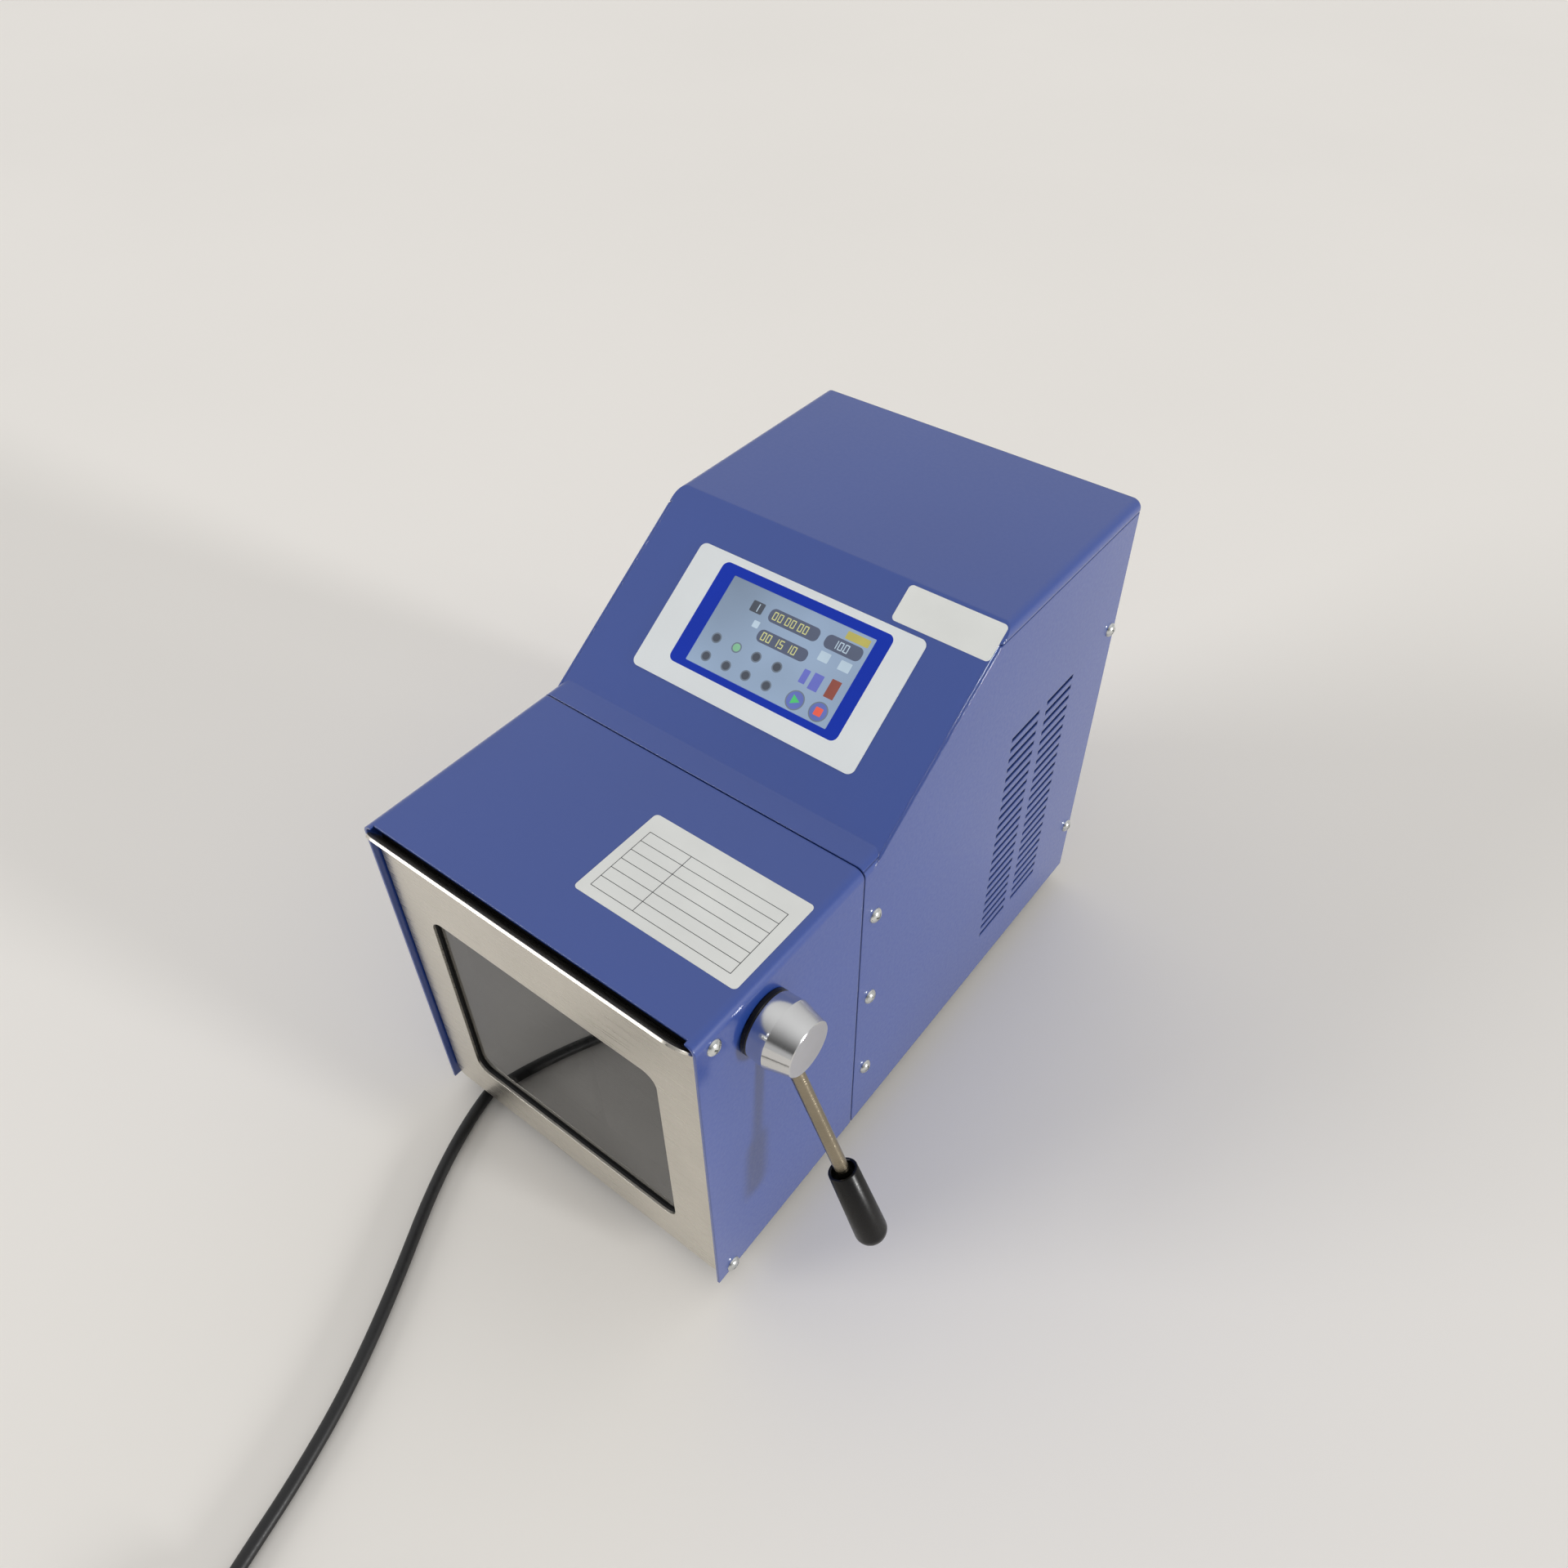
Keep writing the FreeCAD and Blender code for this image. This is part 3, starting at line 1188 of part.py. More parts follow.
def make_motor():
    face = across(bracket_in, 1)
    tail = face - s.motor_length
    motor = turned(motor_axis, [
        (tail, 0),
        (tail, s.motor_radius - s.motor_chamfer),
        (tail + s.motor_chamfer, s.motor_radius),
        (tail + s.motor_cap, s.motor_radius),
        (tail + s.motor_cap, s.motor_waist),
        (face - s.motor_cap, s.motor_waist),
        (face - s.motor_cap, s.motor_radius),
        (face, s.motor_radius),
        (face, s.motor_shaft_radius + s.running),
        (face - s.motor_cap, s.motor_shaft_radius + s.running),
        (face - s.motor_cap, 0),
    ], "x")
    node("motor_housing", motor)
    shaft_ends = (face - s.motor_cap + s.fit, across(s.pulley_side, 1))
    node("motor_shaft", cylinder("x", motor_axis, *shaft_ends, s.motor_shaft_radius))
    half = s.motor_radius + s.bracket_margin
    plate = box((face, motor_axis[0] - half, up(s.sheet)),
                (across(bracket_out, 1), motor_axis[0] + half, motor_axis[1] + half))
    foot = box((face - s.bracket_foot, motor_axis[0] - half, up(s.sheet)),
               (face, motor_axis[0] + half, up(s.sheet + s.bracket_thick)))
    hole = cylinder("x", motor_axis, face - over, across(bracket_out - over, 1), s.motor_shaft_radius + over)
    node("motor_bracket", cut(fuse(plate, foot), hole))


def make_power_board():
    low_z = s.sheet + s.standoff_height
    top_z = low_z + s.board_thick
    left, right = s.board_side, s.board_side + s.board_length
    front, back = s.board_front, s.board_front + s.board_width
    board = box((across(left), deep(front), up(low_z)), (across(right), deep(back), up(top_z)))
    inset = s.standoff_radius * 2
    standoffs = [cylinder("z", (across(x), deep(y)), up(s.sheet), up(low_z), s.standoff_radius)
                 for x in (left + inset, right - inset) for y in (front + inset, back - inset)]
    node("board_standoffs", group(*standoffs))
    coil_left = left + s.transformer_left
    coil_front = front + s.transformer_front
    coil = box((across(coil_left), deep(coil_front), up(top_z)),
               (across(coil_left + s.transformer), deep(coil_front + s.transformer),
                up(top_z + s.transformer_height)))
    cans = []
    for step in range(2):
        centre = (across(right - s.can_right - s.can_pitch * step), deep(front + s.board_width / 2))
        cans.append(cylinder("z", centre, up(top_z), up(top_z + s.can_height), s.can_radius))
    node("power_board", fuse(board, coil, *cans))


def make_screen():
    frame = slope_box((s.bezel_left, s.bezel_low, 0), (s.bezel_right, s.bezel_high, s.overlay_thick))
    hole = slope_box((s.bezel_left, s.bezel_low, -over), (s.bezel_right, s.bezel_high, over))
    panel = slope_box((s.overlay_left, s.overlay_low, 0), (s.overlay_right, s.overlay_high, s.overlay_thick))
    node("screen_overlay", cut(panel, hole))
    view = slope_box((s.screen_left, s.screen_low, -over), (s.screen_right, s.screen_high, over))
    node("screen_frame", cut(frame, view))
    node("touch_screen", slope_box((s.screen_left, s.screen_low, -s.sheet),
                                   (s.screen_right, s.screen_high, s.overlay_thick - s.screen_recess)))
    margin = s.display_margin
    module_back = -s.sheet - s.display_thick
    node("display_module", slope_box((s.screen_left - margin, s.screen_low - margin, module_back),
                                     (s.screen_right + margin, s.screen_high + margin, -s.sheet)))


def make_fan():
    centre = (across(s.fan_x), up(s.fan_z))
    half = s.fan_size / 2
    square = box((centre[0] - half, deep(fan_front), centre[1] - half),
                 (centre[0] + half, deep(panel_in), centre[1] + half))
    frame = cut(square, cylinder("y", centre, deep(fan_front - over), deep(panel_in + over), s.fan_bore))
    plate_back = fan_front + s.fan_back
    plate = cylinder("y", centre, deep(fan_front), deep(plate_back), s.fan_hub)
    pin_end = panel_in - s.rotor_gap - s.fan_back
    pin = cylinder("y", centre, deep(plate_back), deep(pin_end), s.fan_pin)
    strut_ends = (deep(fan_front), deep(plate_back))
    upright = box((centre[0] - s.fan_strut / 2, strut_ends[0], centre[1] - half),
                  (centre[0] + s.fan_strut / 2, strut_ends[1], centre[1] + half))
    level = box((centre[0] - half, strut_ends[0], centre[1] - s.fan_strut / 2),
                (centre[0] + half, strut_ends[1], centre[1] + s.fan_strut / 2))
    node("fan_frame", fuse(frame, plate, pin, upright, level))
    node("fan_rotor", fan_rotor(centre, plate_back + s.rotor_gap, panel_in - s.rotor_gap, pin_end + s.fit))
    reach = s.fan_bore + s.guard_bar
    step = (reach - s.fan_hub) / (s.guard_rings - 1)
    guard_ends = (deep(panel_out), deep(panel_out + s.guard_thick))
    rings = []
    for number in range(int(float(s.guard_rings))):
        outer = s.fan_hub + step * number
        rings.append(ring("y", centre, *guard_ends, outer, outer - s.guard_bar))
    upright = box((centre[0] - s.guard_bar / 2, guard_ends[0], centre[1] - reach + s.guard_bar / 2),
                  (centre[0] + s.guard_bar / 2, guard_ends[1], centre[1] + reach - s.guard_bar / 2))
    level = box((centre[0] - reach + s.guard_bar / 2, guard_ends[0], centre[1] - s.guard_bar / 2),
                (centre[0] + reach - s.guard_bar / 2, guard_ends[1], centre[1] + s.guard_bar / 2))
    node("fan_guard", fuse(*rings, upright, level))


def fan_rotor(centre, front, back, bore_end):
    """A hub with a bore for its pin, and twisted blades round it."""
    hub_radius = float(s.fan_hub)
    tip_radius = float(s.fan_bore - s.blade_gap)
    depth = float(back - front)
    turn = Vector(0, 1, 0)
    hub = Part.makeCylinder(hub_radius, depth, Vector(), turn)
    bore = Part.makeCylinder(float(s.fan_pin + s.running), float(bore_end - front), Vector(), turn)
    swept = Part.makeCylinder(tip_radius, depth, Vector(), turn)
    thick = float(s.blade_thick)
    long = depth * 3
    blade = Part.makeBox(tip_radius * 2, thick, long, Vector(0, -thick / 2, -long / 2))
    blade.rotate(Vector(), Vector(1, 0, 0), 90 - float(s.blade_twist))
    blade.translate(Vector(0, depth / 2, 0))
    blade = blade.common(Part.makeBox(tip_radius * 2, depth, long, Vector(0, 0, -long / 2))).common(swept)
    blade = blade.cut(Part.makeBox(hub_radius / 2, depth * 2, long, Vector(0, -depth / 2, -long / 2)))
    count = int(float(s.fan_blades))
    blades = []
    for number in range(count):
        copy = blade.copy()
        copy.rotate(Vector(), turn, 360 / count * number)
        blades.append(copy)
    rotor = doc.addObject("Part::Feature", "Rotor")
    rotor.Shape = hub.fuse(blades).removeSplitter().cut(bore)
    set_base(rotor, (centre[0], deep(front), centre[1]))
    return rotor


def make_switch():
    face = panel_out + s.switch_rim_thick

    def block_round_switch(margin, front, back):
        side = s.switch_width / 2 + margin
        rise = s.switch_height / 2 + margin
        return box((across(s.switch_x - side), deep(front), up(s.switch_z - rise)),
                   (across(s.switch_x + side), deep(back), up(s.switch_z + rise)))

    rim = block_round_switch(s.switch_rim, panel_out, face)
    block = block_round_switch(0, panel_out - s.switch_body, panel_out)
    pivot = (deep(face - s.rocker_rise), up(s.switch_z))
    wide = s.switch_width / 2 - s.switch_rim
    cavity_radius = s.rocker_half + s.rocker_rise / 2
    cavity = cylinder("x", pivot, across(s.switch_x - wide), across(s.switch_x + wide), cavity_radius)
    node("switch_body", cut(fuse(rim, block), cavity))
    rocker = body()
    sketch = sketch_on(rocker, "YZ", across(s.switch_x - wide + s.fit))
    outline(sketch, [
        (s.rocker_rise / 2, 0),
        (s.rocker_rise, s.rocker_half),
        (-s.rocker_rise, s.rocker_inner),
        (-s.rocker_deep, 0),
        (-s.rocker_rise, -s.rocker_inner),
        (s.rocker_rise, -s.rocker_half),
    ])
    pad(rocker, sketch, (wide - s.fit) * 2)
    set_base(rocker, (0, *pivot), Rotation(Vector(1, 0, 0), float(s.rocker_rock)))
    rocker.setExpression("Placement.Rotation.Angle", f"{s.rocker_rock.text} * 1 deg")
    node("switch_rocker", rocker)


def make_rear_fittings():
    fuse_axis = (across(s.fuse_x), up(s.switch_z))
    node("fuse_holder", turned(fuse_axis, [
        (deep(panel_out - s.fuse_body_length), 0),
        (deep(panel_out - s.fuse_body_length), s.fuse_radius),
        (deep(panel_out), s.fuse_radius),
        (deep(panel_out), s.fuse_cap_radius),
        (deep(panel_out + s.fuse_cap_length - s.fuse_chamfer), s.fuse_cap_radius),
        (deep(panel_out + s.fuse_cap_length), s.fuse_radius),
        (deep(panel_out + s.fuse_cap_length), 0),
    ], "y"))
    gland_axis = (across(s.gland_x), up(s.gland_z))
    collar_end = panel_out + s.gland_collar_thick
    inside = panel_in - s.gland_collar_thick
    node("strain_relief", turned(gland_axis, [
        (deep(inside), 0),
        (deep(inside), s.gland_collar),
        (deep(panel_in), s.gland_collar),
        (deep(panel_in), s.gland_radius),
        (deep(panel_out), s.gland_radius),
        (deep(panel_out), s.gland_collar),
        (deep(collar_end), s.gland_collar),
        (deep(collar_end), s.gland_radius),
        (deep(collar_end + s.gland_length), s.gland_tip),
        (deep(collar_end + s.gland_length), 0),
    ], "y"))


# The mains cord's way from the strain relief to its coil, after its straight start
cord_points = [
    (-37, 284, 65),
    (-41, 284, 29),
    (-46, 258.5, 3.8),
    (-54, 212.5, 3.8),
    (-63, 164.5, 3.8),
    (-73, 116.5, 3.8),
    (-86, 70.5, 3.8),
    (-100, 24.5, 3.8),
    (-112, -23.5, 3.8),
    (-121, -71.5, 3.8),
    (-126.5, -117.5, 3.8),
    (-128.5, -159.5, 3.8),
    (-123.5, -201.5, 3.8),
    (-105, -252.5, 3.8),
    (-74, -309.5, 3.8),
    (-50, -361.5, 3.8),
    (-36, -405.5, 3.8),
    (-27.5, -441.5, 3.8),
    (-19.5, -471.5, 3.8),
    (-13, -495.5, 3.8),
]
cord_first_run = 35
coil_centre = (31.3, -484)
coil_radius = 42
coil_layers = 2
plug_heading = 14.45
# Share of each straight run that the arc at its end takes up
arc_share = 0.45


def cord_path(points):
    """Straight runs joined by tangent arcs, each as large as its two runs allow."""
    edges = []
    radii = []
    start = points[0]
    for before, corner, after in zip(points, points[1:], points[2:]):
        back = before - corner
        ahead = after - corner
        half_turn = (math.pi - back.getAngle(ahead)) / 2
        trim = min(back.Length, ahead.Length) * arc_share
        radius = trim / math.tan(half_turn)
        radii.append(radius)
        back.normalize()
        ahead.normalize()
        inward = (back + ahead).normalize()
        centre = corner + inward * (radius / math.cos(half_turn))
        arc_start = corner + back * trim
        arc_end = corner + ahead * trim
        edges.append(Part.makeLine(start, arc_start))
        edges.append(Part.Arc(arc_start, centre - inward * radius, arc_end).toShape())
        start = arc_end
    edges.append(Part.makeLine(start, points[-1]))
    print("cord radii in diameters:", [round(radius / float(s.cord_radius) / 2, 1) for radius in radii])
    return Part.Wire(edges)


def make_cord():
    exit_y = deep(panel_out + s.gland_collar_thick + s.gland_length)
    start = Vector(float(across(s.gland_x)), float(exit_y), float(up(s.gland_z)))
    points = [start, start + Vector(0, cord_first_run, 0)] + [Vector(*point) for point in cord_points]
    path = cord_path(points)
    radius = float(s.cord_radius)
    section = Part.Wire(Part.makeCircle(radius, start, Vector(0, 1, 0)))
    tube = doc.addObject("Part::Feature", "Cord")
    tube.Shape = path.makePipeShell([section], True, False)
    expected = math.pi * radius ** 2 * path.Length
    if abs(tube.Shape.Volume / expected - 1) > 0.001:
        raise ValueError("the cord's volume isn't its section times its length")
    print("cord length without its coil:", round(path.Length, 1))
    node("mains_cord", tube)
    width = s.cord_radius * 2
    top = width * coil_layers
    node("cord_coil", ring("z", coil_centre, 0, top, coil_radius + width, coil_radius - width))


def make_plug():
    """The plug lies beside the coil, its cord end towards the coil."""
    heading = math.radians(plug_heading)
    ahead = Vector(math.cos(heading), math.sin(heading), 0)
    lane = coil_radius + float(s.cord_radius)
    leave = Vector(coil_centre[0] + lane * math.sin(heading), coil_centre[1] - lane * math.cos(heading), 0)
    coil_edge = lane + float(s.cord_radius + s.fit)
    tail = leave + ahead * math.sqrt(coil_edge ** 2 - (lane - float(s.gland_tip)) ** 2)
    plug_z = s.plug_thick / 2
    sleeve = turned((0, 0), [
        (0, 0),
        (0, s.gland_tip),
        (s.plug_tail, s.gland_radius),
        (s.plug_tail, 0),
    ], "x")
    grip = body()
    sketch = sketch_on(grip, "XY", -plug_z)
    wide = s.plug_width / 2
    face = s.plug_tail + s.plug_length
    outline(sketch, [
        (s.plug_tail, -s.gland_radius),
        (s.plug_tail + s.plug_taper, -wide),
        (face, -wide),
        (face, wide),
        (s.plug_tail + s.plug_taper, wide),
        (s.plug_tail, s.gland_radius),
    ])
    pad(grip, sketch, s.plug_thick)
    places = [(-s.blade_apart / 2, -s.blade_drop), (s.blade_apart / 2, -s.blade_drop), (0, s.blade_rise)]
    blades = []
    for aside, rise in places:
        blade = box((face, aside - s.blade_half, rise - s.blade_width / 2),
                    (face + s.blade_length, aside + s.blade_half, rise + s.blade_width / 2))
        blades.append(blade)
    plug = group(fuse(sleeve, grip), *blades)
    set_base(plug, (tail.x, tail.y, plug_z), Rotation(Vector(0, 0, 1), plug_heading))
    node("mains_plug", plug)


def build():
    make_chamber_cover()
    make_housing()
    make_base()
    make_posts()
    make_rear_panel()
    make_screws()
    make_door()
    make_hinges()
    make_window()
    make_liner()
    make_bag_clamp()
    make_lever()
    make_paddles()
    make_guides()
    make_yokes()
    make_crank()
    make_belt_drive()
    make_motor()
    make_power_board()
    make_screen()
    make_fan()
    make_switch()
    make_rear_fittings()
    make_cord()
    make_plug()
    doc.recompute()


def check_and_write():
    broken = [thing.Name for thing in doc.Objects if "Invalid" in thing.State or "Error" in thing.State]
    if broken:
        raise ValueError(f"objects that failed: {broken}")
    for label, thing in NODES.items():
        if thing.Shape.isNull() or not thing.Shape.isValid():
            raise ValueError(f"{label} isn't a valid shape")
    os.makedirs("parts", exist_ok=True)
    for label, thing in NODES.items():
        thing.Shape.exportStep(os.path.join("parts", f"{label}.step"))
        print(f"{label}: {len(thing.Shape.Solids)} solids, {thing.Shape.Volume / 1000:.1f} cm3")
    print(len(NODES), "sub-parts")


build()
check_and_write()
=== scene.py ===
"""Paddle blender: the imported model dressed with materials, fittings, printed films and its mains cord."""

import math

import bmesh
import bpy
from mathutils import Matrix, Vector


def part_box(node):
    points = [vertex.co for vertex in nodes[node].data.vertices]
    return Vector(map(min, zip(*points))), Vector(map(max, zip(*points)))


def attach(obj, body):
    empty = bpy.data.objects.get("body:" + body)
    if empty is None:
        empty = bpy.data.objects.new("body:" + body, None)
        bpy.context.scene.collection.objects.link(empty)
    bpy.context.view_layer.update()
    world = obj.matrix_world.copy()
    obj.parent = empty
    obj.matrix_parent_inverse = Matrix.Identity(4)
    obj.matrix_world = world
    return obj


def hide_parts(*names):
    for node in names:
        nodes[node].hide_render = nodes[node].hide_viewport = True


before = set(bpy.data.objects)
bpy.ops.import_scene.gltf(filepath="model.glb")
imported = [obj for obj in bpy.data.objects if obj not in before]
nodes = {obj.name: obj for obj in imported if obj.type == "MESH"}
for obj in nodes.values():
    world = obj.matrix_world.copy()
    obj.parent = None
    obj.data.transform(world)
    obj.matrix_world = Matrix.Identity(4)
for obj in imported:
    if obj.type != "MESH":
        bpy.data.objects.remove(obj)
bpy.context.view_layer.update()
MM = 0.001
MICRON = 0.000001

# Places are millimetres in the casing's own frame: across from the left casing face, back
# from the front edge of the top, and up from the bottom edge of the side panels.
SIDE_LEAD = 2.5  # the cover's sides reach this far in front of its top
CASE_WIDTH = 220
CASE_DEPTH = 390
CHAMBER_HEIGHT = 234.3
LOWER_FOLD = 140.4
SLOPE = math.radians(33.8)
cover_low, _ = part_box("chamber_cover")
origin = Vector((cover_low.x, cover_low.y + SIDE_LEAD * MM, cover_low.z))


def at(x, y, z):
    """A place in the casing's frame, in the row frame's metres."""
    return origin + Vector((x, y, z)) * MM


def axes(place, right, up):
    """A matrix that stands a flat drawing at a place, in millimetres, its third axis outwards."""
    out = right.cross(up)
    turn = Matrix((right, up, out)).transposed().to_4x4()
    return Matrix.Translation(place) @ turn @ Matrix.Scale(MM, 4)


X, Y, Z = Vector((1, 0, 0)), Vector((0, 1, 0)), Vector((0, 0, 1))
up_slope = Vector((0, math.cos(SLOPE), math.sin(SLOPE)))
SLOPE_FACE = axes(at(0, LOWER_FOLD, CHAMBER_HEIGHT), X, up_slope)
TOP_FACE = axes(at(0, 0, CHAMBER_HEIGHT), X, Y)
RIGHT_FACE = axes(at(CASE_WIDTH, 0, 0), Y, Z)
LEFT_FACE = axes(at(0, 0, 0), -Y, Z)
BACK_FACE = axes(at(0, CASE_DEPTH, 0), -X, Z)


# Materials

def srgb(red, green, blue):
    """A colour as it is seen, 0 to 255, in the renderer's own scale."""
    parts = [value / 255 for value in (red, green, blue)]
    return tuple(p / 12.92 if p <= 0.04045 else ((p + 0.055) / 1.055) ** 2.4 for p in parts) + (1,)


def surface_of(mat):
    return mat.node_tree.nodes["Principled BSDF"]


def shader(name, colour, roughness, metallic=0.0, coat=0.0, ior=1.5, coat_roughness=0.06):
    """An even material, which the functions below give its wear, rings or light."""
    mat = bpy.data.materials.new(name)
    mat.use_nodes = True
    surface = surface_of(mat)
    surface.inputs["Base Color"].default_value = colour
    surface.inputs["Roughness"].default_value = roughness
    surface.inputs["Metallic"].default_value = metallic
    surface.inputs["Coat Weight"].default_value = coat
    surface.inputs["Coat Roughness"].default_value = coat_roughness
    surface.inputs["IOR"].default_value = ior
    return mat


def add(mat, kind, **values):
    """A new node of a material or a world, each value set on the node or on its input of that name."""
    made = mat.node_tree.nodes.new(kind)
    for key, value in values.items():
        if hasattr(made, key):
            setattr(made, key, value)
        else:
            made.inputs[key.replace("_", " ").title()].default_value = value
    return made


def link(mat, output, target):
    mat.node_tree.links.new(output, target)


def noise(mat, scale, stretch=(1, 1, 1), detail=3.0):
    """Noise in the row frame, drawn out along the axes with a small stretch value."""
    place = add(mat, "ShaderNodeTexCoord")
    shape = add(mat, "ShaderNodeMapping", Scale=stretch)
    pattern = add(mat, "ShaderNodeTexNoise", Scale=scale, Detail=detail)
    link(mat, place.outputs["Object"], shape.inputs["Vector"])
    link(mat, shape.outputs["Vector"], pattern.inputs["Vector"])
    return pattern.outputs["Fac"]


def remap(mat, value, low, high, from_low=0.3, from_high=0.7):
    """Spreads value from its own range over low to high, and holds it at the ends."""
    spread = add(mat, "ShaderNodeMapRange")
    spread.inputs["From Min"].default_value = from_low
    spread.inputs["From Max"].default_value = from_high
    spread.inputs["To Min"].default_value = low
    spread.inputs["To Max"].default_value = high
    link(mat, value, spread.inputs["Value"])
    return spread.outputs["Result"]


def blend_colours(mat, value, first, second):
    """The first colour where value is low, the second where it is high."""
    ramp = add(mat, "ShaderNodeValToRGB")
    ramp.color_ramp.elements[0].position = 0.32
    ramp.color_ramp.elements[0].color = first
    ramp.color_ramp.elements[1].position = 0.68
    ramp.color_ramp.elements[1].color = second
    link(mat, value, ramp.inputs["Fac"])
    return ramp.outputs["Color"]


def scaled(colour, factor):
    """The colour made darker or lighter."""
    return tuple(min(1, part * factor) for part in colour[:3]) + (1,)


def worn(mat, spread, patches, rough, grain, relief, stretch=(1, 1, 1), edge=0.0):
    """Uneven colour, gloss and grain, and edges that catch the light.

    The colour varies by spread in patches of that noise scale, the gloss over the range rough.
    The grain has its noise scale, its height relief in microns and its stretch along the axes.
    Corners look rounded to the radius edge, in millimetres.
    """
    surface = surface_of(mat)
    colour = tuple(surface.inputs["Base Color"].default_value)
    broad = noise(mat, patches, detail=4.0)
    link(mat, blend_colours(mat, broad, scaled(colour, 1 - spread), scaled(colour, 1 + spread)),
         surface.inputs["Base Color"])
    fine = noise(mat, grain, stretch)
    link(mat, remap(mat, fine, *rough), surface.inputs["Roughness"])
    bump = add(mat, "ShaderNodeBump", Strength=1.0, Distance=relief * MICRON)
    link(mat, fine, bump.inputs["Height"])
    if edge:
        bevel = add(mat, "ShaderNodeBevel", samples=6, Radius=edge * MM)
        link(mat, bevel.outputs["Normal"], bump.inputs["Normal"])
        link(mat, bevel.outputs["Normal"], surface.inputs["Coat Normal"])
    link(mat, bump.outputs["Normal"], surface.inputs["Normal"])
    return mat


ALONG_X = (0.02, 1, 1)
ALONG_Z = (1, 1, 0.02)
paint = worn(shader("blue_paint", srgb(36, 68, 147), 0.35, coat=0.8, coat_roughness=0.1), 0.03, 6,
             (0.36, 0.44), 420, 3, edge=1.2)
door_steel = worn(shader("door_steel", srgb(214, 209, 199), 0.3, 1.0), 0.05, 14, (0.22, 0.42), 1500, 4,
                  ALONG_X, 0.4)
plain_steel = worn(shader("plain_steel", srgb(190, 188, 182), 0.3, 1.0), 0.05, 14, (0.24, 0.4), 900, 3,
                   ALONG_X, 0.4)
screw_zinc = worn(shader("screw_zinc", srgb(214, 216, 214), 0.25, 1.0), 0.1, 120, (0.16, 0.3), 900, 4)
zinc = worn(shader("zinc", srgb(176, 176, 174), 0.35, 1.0), 0.12, 60, (0.28, 0.45), 500, 6, edge=0.4)
aluminium = worn(shader("aluminium", srgb(200, 200, 200), 0.35, 1.0), 0.05, 40, (0.28, 0.42), 1600, 4,
                 ALONG_Z, 0.4)
bronze = worn(shader("bronze", srgb(176, 130, 70), 0.4, 1.0), 0.1, 60, (0.3, 0.5), 900, 5, edge=0.2)
guard_wire = worn(shader("guard_wire", srgb(206, 206, 204), 0.18, 1.0), 0.04, 60, (0.12, 0.24), 700, 2)
casting = worn(shader("casting", srgb(70, 72, 78), 0.6), 0.1, 40, (0.5, 0.7), 700, 60, edge=0.8)
black_plastic = worn(shader("black_plastic", srgb(34, 34, 36), 0.4), 0.15, 50, (0.34, 0.46), 900, 20,
                     edge=0.4)
grip_plastic = worn(shader("grip_plastic", srgb(12, 11, 11), 0.3, ior=1.36), 0.12, 60, (0.26, 0.36), 700,
                    10)
black_rubber = worn(shader("black_rubber", srgb(26, 26, 27), 0.6), 0.2, 40, (0.5, 0.7), 1200, 20, edge=0.3)
cord_rubber = worn(shader("cord_rubber", srgb(22, 22, 23), 0.45), 0.15, 30, (0.38, 0.55), 1100, 10)
board_green = worn(shader("board_green", srgb(22, 84, 48), 0.4), 0.2, 120, (0.3, 0.5), 900, 10)
white_film = worn(shader("white_film", srgb(223, 227, 228), 0.4, coat=0.25), 0.02, 20, (0.36, 0.46), 500, 4)
label_film = worn(shader("label_film", srgb(224, 225, 221), 0.35, coat=0.3), 0.03, 30, (0.3, 0.42), 500, 4)
blue_film = worn(shader("blue_film", srgb(14, 50, 172), 0.45, ior=1.25), 0.05, 20, (0.4, 0.5), 500, 4)
print_ink = worn(shader("print_ink", srgb(40, 42, 46), 0.5), 0.1, 80, (0.45, 0.6), 600, 2)
white_print = worn(shader("white_print", srgb(225, 225, 222), 0.5), 0.03, 80, (0.45, 0.6), 600, 2)


LATHE_RINGS = 2600


def turned_metal(name, colour, centre, along, rough, relief):
    """Metal with the fine rings that a lathe leaves round the axis along through centre.

    rough is the range of its gloss, and relief the height of the rings in microns.
    """
    mat = shader(name, colour, 0.2, 1.0)
    surface = surface_of(mat)
    place = add(mat, "ShaderNodeTexCoord")
    offset = add(mat, "ShaderNodeVectorMath", operation="SUBTRACT")
    offset.inputs[1].default_value = centre
    run = add(mat, "ShaderNodeVectorMath", operation="DOT_PRODUCT")
    run.inputs[1].default_value = along
    across = add(mat, "ShaderNodeVectorMath", operation="CROSS_PRODUCT")
    across.inputs[1].default_value = along
    radius = add(mat, "ShaderNodeVectorMath", operation="LENGTH")
    total = add(mat, "ShaderNodeMath", operation="ADD")
    rings = add(mat, "ShaderNodeTexNoise", noise_dimensions="1D", Detail=4.0)
    rings.inputs["Scale"].default_value = LATHE_RINGS
    link(mat, place.outputs["Object"], offset.inputs[0])
    link(mat, offset.outputs["Vector"], run.inputs[0])
    link(mat, offset.outputs["Vector"], across.inputs[0])
    link(mat, across.outputs["Vector"], radius.inputs[0])
    link(mat, radius.outputs["Value"], total.inputs[0])
    link(mat, run.outputs["Value"], total.inputs[1])
    link(mat, total.outputs["Value"], rings.inputs["W"])
    link(mat, remap(mat, rings.outputs["Fac"], *rough), surface.inputs["Roughness"])
    bump = add(mat, "ShaderNodeBump", Strength=1.0, Distance=relief * MICRON)
    link(mat, rings.outputs["Fac"], bump.inputs["Height"])
    link(mat, bump.outputs["Normal"], surface.inputs["Normal"])
    broad = noise(mat, 40)
    link(mat, blend_colours(mat, broad, scaled(colour, 0.95), scaled(colour, 1.04)),
         surface.inputs["Base Color"])
    return mat


